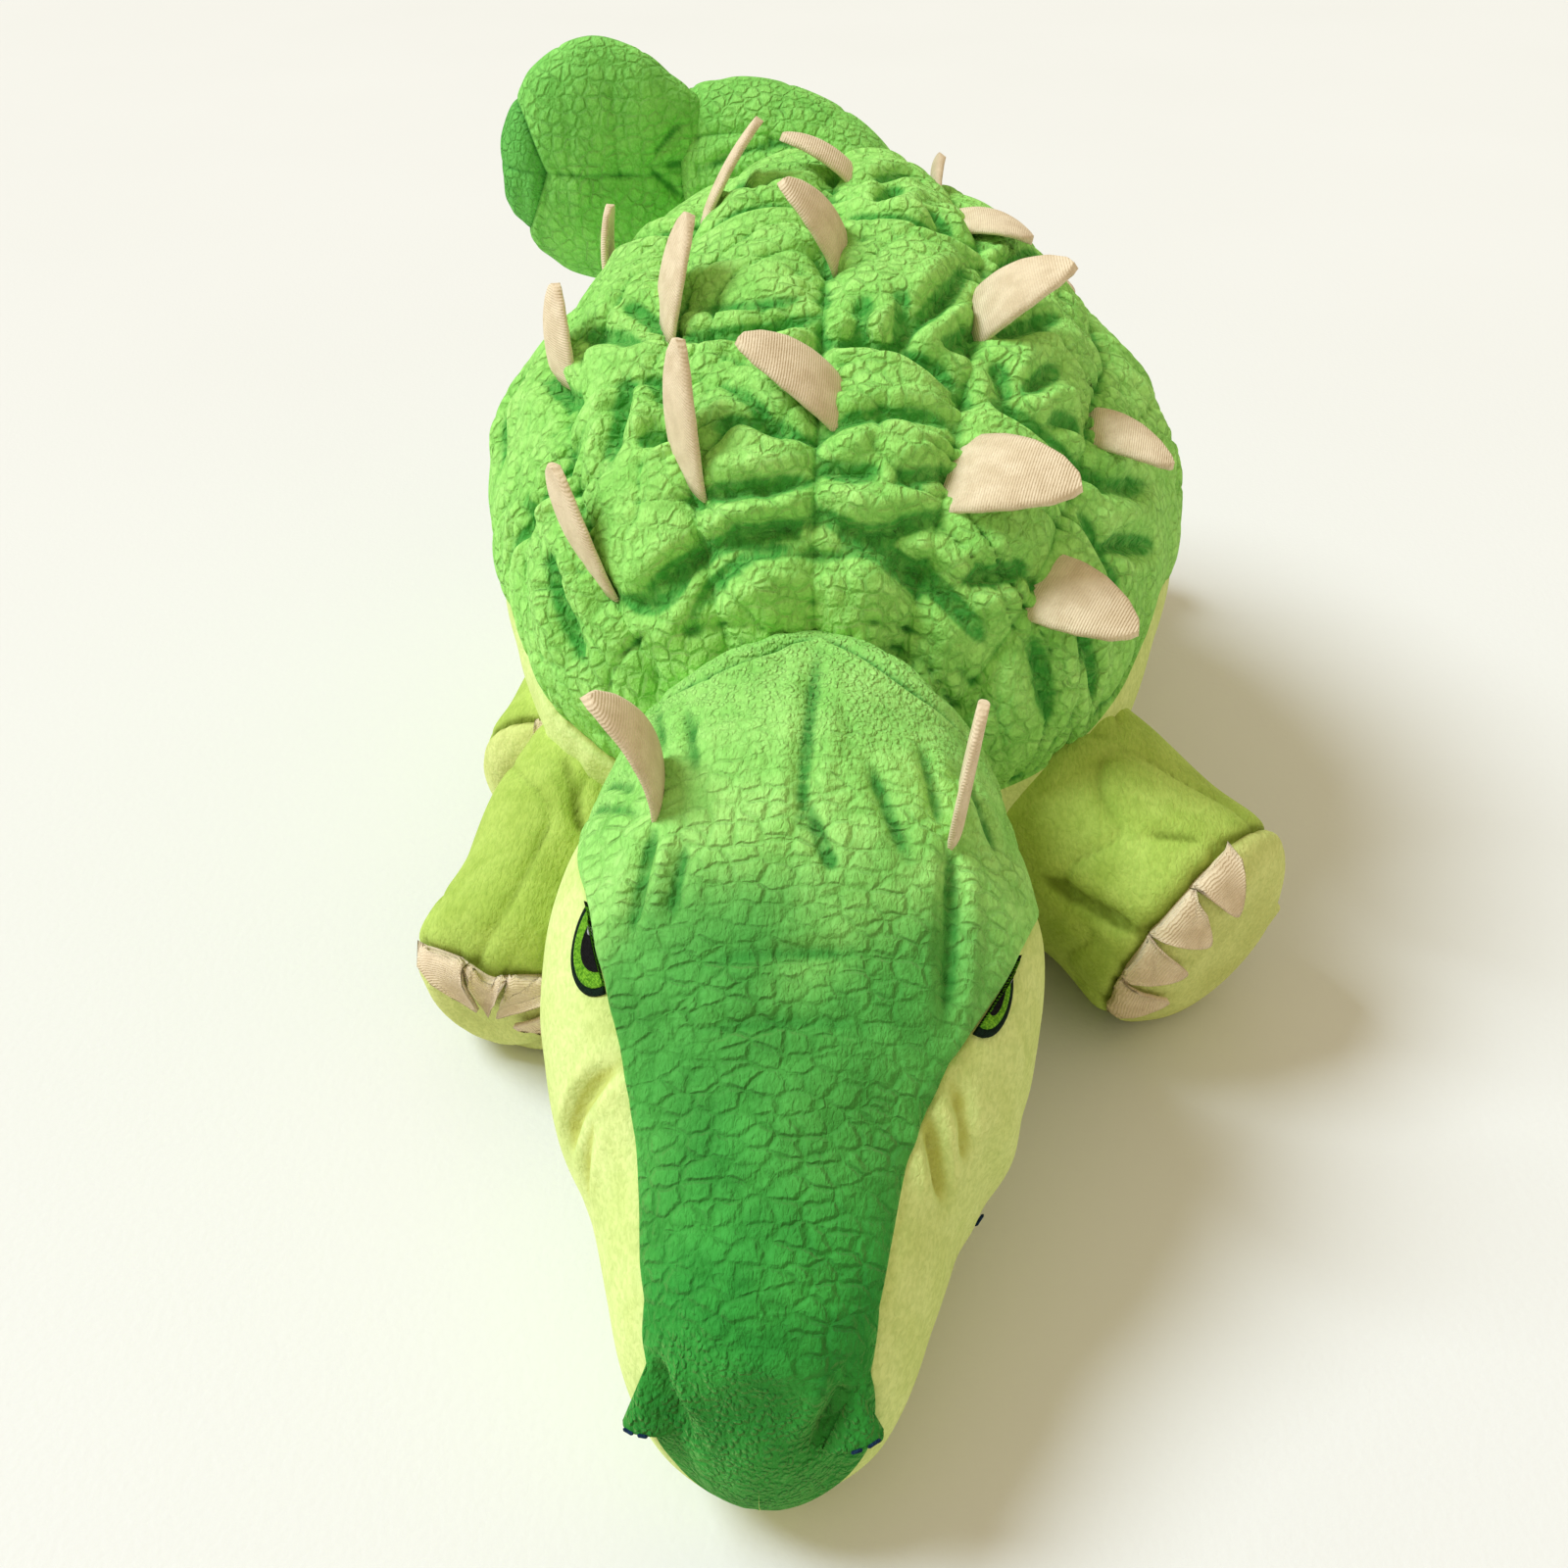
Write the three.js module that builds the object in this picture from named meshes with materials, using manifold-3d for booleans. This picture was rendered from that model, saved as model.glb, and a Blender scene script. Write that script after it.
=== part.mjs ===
// A plush ankylosaurus that lies on its belly: stuffed torso, head, legs, tail and tail club in sewn
// fabric panels, with felt spikes, horns and claws. Millimetres, +Z up, nose towards -Y, tail towards +Y.
// Every stuffed form is lofted once. Its faces are shared out among the panels, and its filling is drawn in.
import * as THREE from "three";
import { mergeVertices } from "three/addons/utils/BufferGeometryUtils.js";
import Module from "manifold-3d";

const wasm = await Module();
wasm.setup();

// Fabric, felt and the clearances between pieces
const fabric = 2;
const felt = 2.5;
const clawFelt = 1.6;
const embroidery = 0.9;
const seamGap = 0.4;
const fillGap = 0.3;
const jointGap = 0.5;
const socketGap = 1;
const floorCut = 0.5;
const overrun = 40;

// Torso, measured from the neck seam, which stands at y = 0
const torsoLength = 306;
const torsoWidth = 256;
const torsoHeight = 216;
const torsoShift = -2;
const chestReach = 14;

// Head: how far it tucks in behind the neck seam, and how far it sits to the side
const headLength = 240.5;
const headWidth = 141;
const headHeight = 137;
const headTuck = 22;
const headShift = -5;
const neckPadRadius = 11;
const hornLength = 42;
const hornBase = 32;
const eyeHeight = 26;
const eyeWidth = 20;
const nostrilSize = 17;

// Legs: length and thickness of the front and hind pairs
const frontLegLength = 126;
const frontLegThickness = 74;
const hindLegLength = 115;
const hindLegThickness = 66;
const clawLength = 18;

// Tail: how far it starts inside the rump, then how far it runs to the side, back and up
const tailTuck = 46;
const tailSpan = 80;
const tailReach = 57;
const tailClimb = 57;
const tailThickness = 58;
const clubLength = 92;
const clubHeight = 100;
const clubThickness = 46;
const clubTuck = 14;
const clubTipLength = 17;

// Felt spikes of the back
const spikeBase = 36;
const spikeLength = 34;
const spikeRoot = 6;

// How far each joint turns, in degrees
const headTurn = [0, 12];
const headNod = [0, 15];
const leftLegSwing = [-15, 0];
const frontRightSwing = [-15, 15];
const hindRightSwing = [-12, 12];
const tailSwing = [-12, 12];
const clubBend = [-12, 12];
const sweepDegrees = 7.5;

// Colours of the fabrics
const paint = {
  armour: 0x6fbf58,
  crown: 0x4f9f4a,
  cream: 0xdfe9a8,
  lime: 0xb9d070,
  sole: 0xd6d99a,
  felt: 0xe0cda8,
  tip: 0x57a348,
  thread: 0x123f1c,
  filling: 0xf2f1ea,
};

// How the cross sections are drawn
const crownSquareness = 2.05;
const bellySquareness = 2.1;
const flatBellyShare = 0.967;
const legSides = 10;
const clubSides = 10;
const tailSides = 8;
const padSides = 10;
const padBands = 6;
const eyeSides = 12;
const nostrilSides = 8;
const degree = Math.PI / 180;

const at = (x, y, z) => new THREE.Vector3(x, y, z);
const sideways = at(1, 0, 0);
const backwards = at(0, 1, 0);
const forwards = at(0, -1, 0);
const upwards = at(0, 0, 1);
const toy = new THREE.Group();

// A closed form from a row of rings: its points, and its faces with the band and column that each lies in
function formOf(rings, startPole, endPole) {
  const count = rings[0].length;
  const points = [startPole, ...rings.flat(), endPole];
  const last = points.length - 1;
  const place = (ring, step) => 1 + ring * count + (step % count);
  const faces = [];
  for (let column = 0; column < count; column++) {
    const next = column + 1;
    faces.push({ corners: [0, place(0, next), place(0, column)], band: 0, column });
    for (let ring = 0; ring + 1 < rings.length; ring++) {
      const [a, b] = [place(ring, column), place(ring, next)];
      const [c, d] = [place(ring + 1, column), place(ring + 1, next)];
      faces.push({ corners: [a, b, d], band: ring + 1, column });
      faces.push({ corners: [a, d, c], band: ring + 1, column });
    }
    const end = rings.length - 1;
    faces.push({ corners: [last, place(end, column), place(end, next)], band: rings.length, column });
  }
  return { points, faces };
}

const normalOf = ([a, b, c]) => b.clone().sub(a).cross(c.clone().sub(a));

function outwardAt({ points, faces }) {
  const outward = points.map(() => at(0, 0, 0));
  for (const { corners } of faces) {
    const normal = normalOf(corners.map((corner) => points[corner]));
    corners.forEach((corner) => outward[corner].add(normal));
  }
  return outward.map((v) => v.normalize());
}

function solidOf(points, corners) {
  const vertProperties = new Float32Array(points.flatMap((p) => [p.x, p.y, p.z]));
  const triVerts = new Uint32Array(corners.flat());
  return new wasm.Manifold(new wasm.Mesh({ numProp: 3, vertProperties, triVerts }));
}

// The form's solid, drawn in by inset; a negative inset makes it larger
function insetSolid(form, inset) {
  const outward = outwardAt(form);
  const points = form.points.map((p, i) => p.clone().addScaledVector(outward[i], -inset));
  return solidOf(points, form.faces.map(({ corners }) => corners));
}

// One panel of a form's fabric: the faces that belong to it, with half the seam gap along its edges
function panelOf(form, belongs) {
  const outward = outwardAt(form);
  const faces = form.faces.filter(belongs).map(({ corners }) => corners);
  const edges = new Map();
  for (const corners of faces)
    corners.forEach((from, i) => {
      const to = corners[(i + 1) % 3];
      if (edges.has(`${to},${from}`)) edges.delete(`${to},${from}`);
      else edges.set(`${from},${to}`, { from, to, corners });
    });
  const inwards = new Map();
  for (const { from, to, corners } of edges.values()) {
    const normal = normalOf(corners.map((corner) => form.points[corner])).normalize();
    const along = form.points[to].clone().sub(form.points[from]).normalize();
    for (const end of [from, to]) inwards.set(end, [...(inwards.get(end) ?? []), normal.clone().cross(along)]);
  }
  const layer = (inset) =>
    form.points.map((p, i) => {
      const place = p.clone().addScaledVector(outward[i], -inset);
      const [one, other] = inwards.get(i) ?? [];
      if (!one) return place;
      const shift = one.clone().add(other).multiplyScalar(seamGap / 2 / (1 + one.dot(other)));
      return place.add(shift);
    });
  const used = [...new Set(faces.flat())];
  const outer = new Map(used.map((corner, i) => [corner, i]));
  const inner = new Map(used.map((corner, i) => [corner, used.length + i]));
  const [face, lining] = [layer(0), layer(fabric)];
  const walls = [...edges.values()].flatMap(({ from, to }) => [
    [outer.get(to), outer.get(from), inner.get(from)],
    [outer.get(to), inner.get(from), inner.get(to)],
  ]);
  return solidOf(
    [...used.map((corner) => face[corner]), ...used.map((corner) => lining[corner])],
    [
      ...faces.map((corners) => corners.map((corner) => outer.get(corner))),
      ...faces.map(([a, b, c]) => [inner.get(a), inner.get(c), inner.get(b)]),
      ...walls,
    ],
  );
}

function turned(form, pivot, axis, degrees) {
  const turn = (p) => p.clone().sub(pivot).applyAxisAngle(axis, degrees * degree).add(pivot);
  return { points: form.points.map(turn), faces: form.faces };
}

// The solid of any closed three.js geometry
function geometrySolid(geometry) {
  const bare = geometry.index ? geometry.toNonIndexed() : geometry.clone();
  bare.deleteAttribute("normal");
  bare.deleteAttribute("uv");
  const merged = mergeVertices(bare);
  const vertProperties = merged.attributes.position.array;
  const triVerts = new Uint32Array(merged.index.array);
  return new wasm.Manifold(new wasm.Mesh({ numProp: 3, vertProperties, triVerts }));
}

const moved = (solid, place) => solid.translate([place.x, place.y, place.z]);
const joined = (solids) => solids.reduce((all, one) => all.add(one));

// The largest of the bodies that a cut leaves
const mainBody = (solid) =>
  solid.decompose().reduce((most, body) => (body.volume() > most.volume() ? body : most));

function meshOf(name, solid, colour, roughness = 0.95) {
  const { numProp, vertProperties, triVerts } = mainBody(solid).getMesh();
  const places = new Float32Array(triVerts.length * 3);
  triVerts.forEach((vertex, i) => {
    for (let axis = 0; axis < 3; axis++) places[3 * i + axis] = vertProperties[vertex * numProp + axis];
  });
  const geometry = new THREE.BufferGeometry();
  geometry.setAttribute("position", new THREE.BufferAttribute(places, 3));
  geometry.computeVertexNormals();
  const mesh = new THREE.Mesh(geometry, new THREE.MeshStandardMaterial({ color: colour, roughness }));
  mesh.name = name;
  toy.add(mesh);
}

// A ring of points: a superellipse with its own rise above and below the widest level
function ringOf(centre, side, rise, halfWidth, above, below, angles) {
  return angles.map((angle) => {
    const [across, up] = [Math.cos(angle * degree), Math.sin(angle * degree)];
    const power = 2 / (up < 0 ? bellySquareness : crownSquareness);
    const shift = Math.sign(across) * Math.abs(across) ** power * halfWidth;
    const climb = Math.abs(up) ** power;
    const lift = up < 0 ? -Math.min(1, climb / flatBellyShare) * below : climb * above;
    return centre.clone().addScaledVector(side, shift).addScaledVector(rise, lift);
  });
}
const evenAngles = (count) => Array.from({ length: count }, (_, i) => ((i + 0.5) * 360) / count);

// A prism that fills an outline drawn in two directions, and runs from one end to the other along the third
function prism(outline, across, up, along, from, to) {
  const shape = new THREE.Shape(outline.map(([x, y]) => new THREE.Vector2(x, y)));
  const geometry = new THREE.ExtrudeGeometry(shape, { depth: to - from, bevelEnabled: false });
  geometry.translate(0, 0, from);
  geometry.applyMatrix4(new THREE.Matrix4().makeBasis(across, up, along));
  return geometrySolid(geometry);
}

// The angles at which a range is cut free, from end to end, with rest among them
function sweepOf([low, high]) {
  const steps = Math.ceil((high - low) / sweepDegrees);
  const stops = Array.from({ length: steps + 1 }, (_, step) => low + ((high - low) * step) / steps);
  return stops.includes(0) ? stops : [0, ...stops];
}

// All the places that a neighbour takes, seen from a piece that swings about an upright line at pivot
const sweptSolid = (form, pivot, range) =>
  joined(sweepOf(range).map((degrees) => insetSolid(turned(form, pivot, upwards, -degrees), -jointGap)));

const floor = prism(
  [
    [-torsoLength, -torsoLength],
    [torsoLength, -torsoLength],
    [torsoLength, 2 * torsoLength],
    [-torsoLength, 2 * torsoLength],
  ],
  sideways,
  backwards,
  upwards,
  -overrun,
  0,
);

// Torso sections, as shares of length, half width, and height for top, underside and widest level
const torsoSectionShares = [
  [0.015, 0.28, 0.48, 0.195, 0.336],
  [0.065, 0.594, 0.685, 0.079, 0.38],
  [0.15, 0.765, 0.826, 0.015, 0.42],
  [0.258, 0.87, 0.894, 0, 0.44],
  [0.36, 0.945, 0.945, 0, 0.449],
  [0.48, 1, 0.983, 0, 0.454],
  [0.6, 0.945, 1, 0, 0.454],
  [0.71, 0.84, 1, 0, 0.454],
  [0.82, 0.7, 0.975, 0.035, 0.471],
  [0.92, 0.475, 0.888, 0.148, 0.498],
  [0.985, 0.2, 0.72, 0.355, 0.521],
];
const torsoPoleShares = [0.33, 0.525];
const torsoLeanShare = -0.035;

// The back's seams run where the section reaches these shares of its half width
const innerSeamShare = 0.42;
const outerSeamShare = 0.76;
const seamAngle = (share) => Math.acos(share ** (crownSquareness / 2)) / degree;
const [innerSeam, outerSeam] = [seamAngle(innerSeamShare), seamAngle(outerSeamShare)];
const quarterAngles = [
  0,
  outerSeam / 2,
  outerSeam,
  (outerSeam + innerSeam) / 2,
  innerSeam,
  (innerSeam + 90) / 2,
];
const torsoAngles = [
  ...quarterAngles,
  90,
  ...quarterAngles.slice(1).reverse().map((angle) => 180 - angle),
  180,
  205,
  230,
  255,
  285,
  310,
  335,
];
const topColumns = 2 * quarterAngles.length;

const torsoFront = -chestReach;
const torsoRise = at(torsoLeanShare, 0, 1);
const torsoMiddle = (along, up) => at(torsoShift, torsoFront + torsoLength * along, torsoHeight * up);
const torsoForm = formOf(
  torsoSectionShares.map(([along, wide, top, under, level]) =>
    ringOf(
      torsoMiddle(along, level),
      sideways.clone().negate(),
      torsoRise,
      (torsoWidth / 2) * wide,
      torsoHeight * (top - level),
      torsoHeight * (level - under) + (under === 0 ? floorCut : 0),
      torsoAngles,
    ),
  ),
  torsoMiddle(0, torsoPoleShares[0]),
  torsoMiddle(1, torsoPoleShares[1]),
);
const torsoClear = insetSolid(torsoForm, -fillGap);
const lastTorsoBand = torsoSectionShares.length;

// The torso's section at a share of its length: half width, top and widest level
function torsoSectionAt(share) {
  const next = torsoSectionShares.findIndex(([along]) => along >= share);
  const [a, b] = [torsoSectionShares[next - 1], torsoSectionShares[next]];
  const mix = (share - a[0]) / (b[0] - a[0]);
  const [, wide, top, , level] = a.map((value, i) => value + (b[i] - value) * mix);
  return { halfWidth: (torsoWidth / 2) * wide, top: torsoHeight * top, level: torsoHeight * level };
}

// Head sections, as the torso's, then the angles of the crown panel's edge and of the mouth line
const headSectionShares = [
  [0.02, 0.67, 0.868, 0.213, 0.54, 8, 60],
  [0.125, 0.837, 0.978, 0.095, 0.54, 8, 40],
  [0.25, 0.91, 0.998, 0.04, 0.547, 8, 35],
  [0.441, 1, 0.912, 0, 0.54, 16, 31],
  [0.5, 0.985, 0.855, 0, 0.513, 27, 28],
  [0.56, 0.955, 0.79, 0, 0.48, 37, 24],
  [0.649, 0.865, 0.708, 0, 0.423, 45, 19],
  [0.734, 0.69, 0.636, 0.005, 0.358, 46, 19],
  [0.83, 0.58, 0.562, 0.025, 0.3, 43, 24],
  [0.915, 0.46, 0.493, 0.05, 0.257, 38, 32],
  [0.965, 0.31, 0.42, 0.075, 0.235, 22, 45],
  [0.992, 0.13, 0.3, 0.133, 0.216, 10, 60],
];
const headPoleShares = [0.54, 0.212];
const headAngles = (crown, mouth) => [
  crown,
  crown + (90 - crown) / 3,
  90 - (90 - crown) / 3,
  90,
  90 + (90 - crown) / 3,
  180 - crown - (90 - crown) / 3,
  180 - crown,
  180 + (mouth - crown) / 2,
  180 + mouth,
  225 + mouth / 2,
  258,
  282,
  315 - mouth / 2,
  360 - mouth,
  360 - (mouth - crown) / 2,
];
const headSeams = { crown: [0, 6], left: [6, 8], jaw: [8, 13], right: [13, 15] };

const headY = (along) => headTuck - headLength * along;
const headPlace = (across, along, up) =>
  at(headShift + (headWidth / 2) * across, headY(along), headHeight * up);
const headForm = formOf(
  headSectionShares.map(([along, wide, top, under, level, crown, mouth]) =>
    ringOf(
      headPlace(0, along, level),
      sideways,
      upwards,
      (headWidth / 2) * wide,
      headHeight * (top - level),
      headHeight * (level - under) + (under === 0 ? floorCut : 0),
      headAngles(crown, mouth),
    ),
  ),
  headPlace(0, 0, headPoleShares[0]),
  headPlace(0, 1, headPoleShares[1]),
);
const headClear = insetSolid(headForm, -fillGap);

// The neck's own stuffing sits in a socket between torso and head, high up, where the head is hinged
const neckShares = { across: 0.355, along: 0.083, up: 0.847 };
const neckCentre = headPlace(neckShares.across, neckShares.along, neckShares.up);
function ballAt(centre, radius) {
  const ball = new THREE.SphereGeometry(radius, padSides, padBands);
  ball.translate(centre.x, centre.y, centre.z);
  return geometrySolid(ball);
}
const neckSocket = ballAt(neckCentre, neckPadRadius + socketGap);

// Torso: six back panels that meet in lengthwise seams, the belly panel with both ends, and the filling
const torsoCuts = floor.add(neckSocket);
const stripNames = ["outer", "middle", "inner"];
const stripColumns = topColumns / 2 / stripNames.length;
for (const [sideName, columnOf] of [
  ["left", (column) => column],
  ["right", (column) => topColumns - 1 - column],
])
  stripNames.forEach((stripName, strip) => {
    const belongs = ({ band, column }) =>
      band > 0 && band < lastTorsoBand && Math.floor(columnOf(column) / stripColumns) === strip;
    const panel = panelOf(torsoForm, belongs);
    meshOf(`back_panel_${sideName}_${stripName}`, panel.subtract(torsoCuts), paint.armour);
  });
const onBelly = ({ band, column }) => band === 0 || band === lastTorsoBand || column >= topColumns;
meshOf("belly_panel", panelOf(torsoForm, onBelly).subtract(torsoCuts), paint.cream);
meshOf("torso_stuffing", insetSolid(torsoForm, fabric + fillGap).subtract(torsoCuts), paint.filling);
meshOf("neck_stuffing", ballAt(neckCentre, neckPadRadius), paint.filling);

// Head: it turns and nods in front of the torso, so every place that the torso takes is cut from it
const torsoSeenFromHead = joined(
  sweepOf(headNod).flatMap((nod) =>
    sweepOf(headTurn).map((turn) => {
      const unturned = turned(torsoForm, neckCentre, upwards, -turn);
      return insetSolid(turned(unturned, neckCentre, sideways, nod), -jointGap);
    }),
  ),
);
const headCuts = torsoSeenFromHead.add(floor).add(neckSocket);
const headPanel = ([first, end]) =>
  panelOf(headForm, ({ column }) => column >= first && column < end).subtract(headCuts);
meshOf("crown_panel", headPanel(headSeams.crown), paint.crown);
meshOf("cheek_panel_left", headPanel(headSeams.left), paint.cream);
meshOf("cheek_panel_right", headPanel(headSeams.right), paint.cream);
meshOf("jaw_panel", headPanel(headSeams.jaw), paint.cream);
meshOf("head_stuffing", insetSolid(headForm, fabric + fillGap).subtract(headCuts), paint.filling);

// Eyes: embroidered patches that follow the sides of the head
const eyePlaceShares = { left: [-1, 0.478, 0.66], right: [1, 0.51, 0.63] };
const thread = insetSolid(headForm, -fillGap - embroidery).subtract(headClear);
for (const [sideName, place] of Object.entries(eyePlaceShares)) {
  const eye = new THREE.CylinderGeometry(eyeWidth / 2, eyeWidth / 2, headWidth, eyeSides);
  eye.scale(1, 1, eyeHeight / eyeWidth);
  eye.rotateZ(Math.PI / 2);
  const middle = headPlace(...place);
  eye.translate(middle.x, middle.y, middle.z);
  meshOf("eye_" + sideName, thread.intersect(geometrySolid(eye)), paint.thread);
}

// Nostrils: pinched cones of crown fabric at the corners of the snout
const nostrilPlaceShares = { across: 0.36, along: 0.955, up: 0.37, buried: 0.1 };
const nostrilLeanShares = [0.75, -0.62, 0.35];
for (const [sideName, side] of [
  ["left", -1],
  ["right", 1],
]) {
  const { across, along, up, buried } = nostrilPlaceShares;
  const [lean, ahead, above] = nostrilLeanShares;
  const cone = new THREE.ConeGeometry(nostrilSize / 2, nostrilSize, nostrilSides);
  cone.translate(0, nostrilSize * buried, 0);
  const direction = at(side * lean, ahead, above).normalize();
  cone.applyQuaternion(new THREE.Quaternion().setFromUnitVectors(backwards, direction));
  const nostril = moved(geometrySolid(cone), headPlace(side * across, along, up));
  meshOf("nostril_" + sideName, nostril.subtract(headClear), paint.crown);
}

// A leaf of felt: a pointed oval that widens from its root, with its base along a seam
const leafShares = [
  [-0.5, 0],
  [-0.47, 0.3],
  [-0.38, 0.6],
  [-0.22, 0.87],
  [0, 1],
  [0.2, 0.9],
  [0.36, 0.64],
  [0.46, 0.33],
  [0.5, 0],
];
function leafOf(base, length, direction, place) {
  const rise = direction.clone().normalize();
  const through = backwards.clone().cross(rise).normalize();
  const across = rise.clone().cross(through);
  const edge = leafShares.map(([x, y]) => [x * base, y * length]);
  const outline = [[-base / 2, -spikeRoot], ...edge, [base / 2, -spikeRoot]].reverse();
  return moved(prism(outline, across, rise, through, -felt / 2, felt / 2), place);
}

// Horns: the middle of each base on the head, and the way it leans
const hornPlaceShares = {
  left: [-0.55, 0.365, 0.86],
  right: [0.55, 0.365, 0.86],
};
const hornLeanShares = { left: [-0.42, -0.05, 1], right: [0.12, -0.05, 1] };
for (const [sideName, place] of Object.entries(hornPlaceShares)) {
  const horn = leafOf(hornBase, hornLength, at(...hornLeanShares[sideName]), headPlace(...place));
  meshOf("horn_" + sideName, horn.subtract(headClear), paint.felt);
}

// Spikes: along the torso, across its half width, and the direction that each leans in
const spikePlaceShares = {
  centre_1: [0.212, 0, -0.82, 0.1, 0.5],
  centre_2: [0.448, 0, -0.56, 0.1, 0.65],
  centre_3: [0.64, 0, -0.76, 0.1, 0.55],
  left_inner_1: [0.186, -innerSeamShare, -0.04, 0.1, 0.95],
  left_inner_2: [0.382, -innerSeamShare, 0.2, 0.15, 0.9],
  left_inner_3: [0.56, -innerSeamShare, 0.41, 0.24, 0.88],
  left_outer_1: [0.111, -outerSeamShare, -0.25, 0.2, 0.93],
  left_outer_2: [0.4, -outerSeamShare, -0.05, 0.1, 0.95],
  left_outer_3: [0.53, -outerSeamShare, -0.02, 0.1, 0.95],
  right_inner_1: [0.16, innerSeamShare, 0.95, -0.15, 0.18],
  right_inner_2: [0.39, innerSeamShare, 0.86, 0, 0.45],
  right_inner_3: [0.59, innerSeamShare, 0.8, -0.2, 0.35],
  right_inner_4: [0.77, innerSeamShare, 0.35, 0.6, 0.6],
  right_outer_1: [0.111, outerSeamShare, 0.9, -0.3, 0.15],
  right_outer_2: [0.36, outerSeamShare, 0.8, -0.25, 0.1],
  right_outer_3: [0.6, outerSeamShare, 0.85, 0.1, 0.3],
};
for (const [name, [along, across, ...direction]] of Object.entries(spikePlaceShares)) {
  const { halfWidth, top, level } = torsoSectionAt(along);
  const up = (1 - Math.abs(across) ** crownSquareness) ** (1 / crownSquareness);
  const place = at(torsoShift + halfWidth * across, torsoFront + torsoLength * along, level);
  place.addScaledVector(torsoRise, (top - level) * up);
  const spike = leafOf(spikeBase, spikeLength, at(...direction), place);
  meshOf("spike_" + name, spike.subtract(torsoClear), paint.felt);
}

// Legs: the middle of each root across, along and up the torso, and the way that the leg points
const legs = [
  {
    name: "front_left",
    rootShares: [-0.57, 0.238, 0.265],
    headingShares: [-0.2, -0.96, -0.19],
    length: frontLegLength,
    thickness: frontLegThickness,
    plumpShare: 0.84,
    seatShare: 0.3,
    swing: leftLegSwing,
  },
  {
    name: "front_right",
    rootShares: [0.405, 0.255, 0.257],
    headingShares: [0.64, -0.753, -0.156],
    length: frontLegLength,
    thickness: frontLegThickness,
    plumpShare: 1.08,
    seatShare: 0.4,
    swing: frontRightSwing,
  },
  {
    name: "hind_left",
    rootShares: [-0.57, 0.56, 0.213],
    headingShares: [-0.252, -0.961, -0.142],
    length: hindLegLength,
    thickness: hindLegThickness,
    plumpShare: 0.94,
    seatShare: 0.45,
    swing: leftLegSwing,
  },
  {
    name: "hind_right",
    rootShares: [0.445, 0.66, 0.238],
    headingShares: [0.494, 0.856, -0.152],
    length: hindLegLength,
    thickness: hindLegThickness,
    plumpShare: 1.06,
    seatShare: 0.45,
    swing: hindRightSwing,
  },
];
const legSectionShares = [
  [0.04, 0.6],
  [0.17, 0.93],
  [0.42, 1],
  [0.68, 0.94],
  [0.87, 0.98],
  [0.96, 0.75],
];
const soleBand = 5;

// A leg is a tapered roll with a domed sole; it is set down so that it is cut flat where it rests
function legFormOf({ rootShares: [across, along, up], headingShares, length, thickness, plumpShare }) {
  const start = torsoMiddle(along, up).addScaledVector(sideways, (torsoWidth / 2) * across);
  const axis = at(...headingShares).normalize();
  const end = start.clone().addScaledVector(axis, length);
  const side = upwards.clone().cross(axis).normalize();
  const rise = axis.clone().cross(side);
  const rings = legSectionShares.map(([share, thick]) => {
    const radius = (thickness / 2) * plumpShare * thick;
    const middle = start.clone().lerp(end, share);
    return ringOf(middle, side, rise, radius, radius, radius, evenAngles(legSides));
  });
  const form = formOf(rings, start, end);
  const lowest = Math.min(...form.points.map((p) => p.z));
  const drop = at(0, 0, -lowest - floorCut);
  form.points.forEach((p) => p.add(drop));
  return { form, start, end, axis, side, rise };
}

// A leg's claws are one strip of felt with four points, which fan out over the top of the sole
const clawFanDegrees = 132;
const clawCount = 4;
const clawShares = { rim: 0.86, notch: 0.12 };
function clawOutline(radius) {
  const stops = Array.from({ length: 2 * clawCount + 1 }, (_, i) => {
    const angle = (90 + clawFanDegrees / 2 - (clawFanDegrees * i) / (2 * clawCount)) * degree;
    return { angle, reach: i % 2 ? clawLength : clawLength * clawShares.notch };
  });
  const spot = (angle, reach) => [Math.cos(angle) * reach, Math.sin(angle) * reach];
  const points = stops.map(({ angle, reach }) => spot(angle, radius * clawShares.rim - reach));
  const rim = stops.map(({ angle }) => spot(angle, radius + overrun));
  return [...rim.reverse(), ...points];
}
const placed = [];
for (const leg of legs) {
  const { form, start, end, axis, side, rise } = legFormOf(leg);
  const pivot = start.clone().lerp(end, leg.seatShare);
  const beside = placed.filter(({ name }) => name.split("_")[1] === leg.name.split("_")[1]);
  const neighbours = [torsoForm, ...beside.flatMap(({ forms }) => forms)];
  const cuts = joined(neighbours.map((neighbour) => sweptSolid(neighbour, pivot, leg.swing))).add(floor);
  const sleeve = panelOf(form, ({ band }) => band < soleBand).subtract(cuts);
  meshOf(`leg_sleeve_${leg.name}`, sleeve, paint.lime);
  meshOf(`leg_sole_${leg.name}`, panelOf(form, ({ band }) => band >= soleBand).subtract(cuts), paint.sole);
  meshOf(`leg_stuffing_${leg.name}`, insetSolid(form, fabric + fillGap).subtract(cuts), paint.filling);

  const seamPlace = start.clone().lerp(end, legSectionShares[soleBand - 1][0]);
  const radius = (leg.thickness / 2) * leg.plumpShare;
  const fan = moved(prism(clawOutline(radius), side, rise, axis, seamGap / 2, leg.length), seamPlace);
  const layer = insetSolid(form, -fillGap - clawFelt).subtract(insetSolid(form, -fillGap));
  meshOf(`claws_${leg.name}`, layer.intersect(fan).subtract(cuts), paint.felt);
  const forms = sweepOf(leg.swing).map((degrees) => turned(form, pivot, upwards, degrees));
  placed.push({ name: leg.name, forms, pivot });
}

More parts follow.
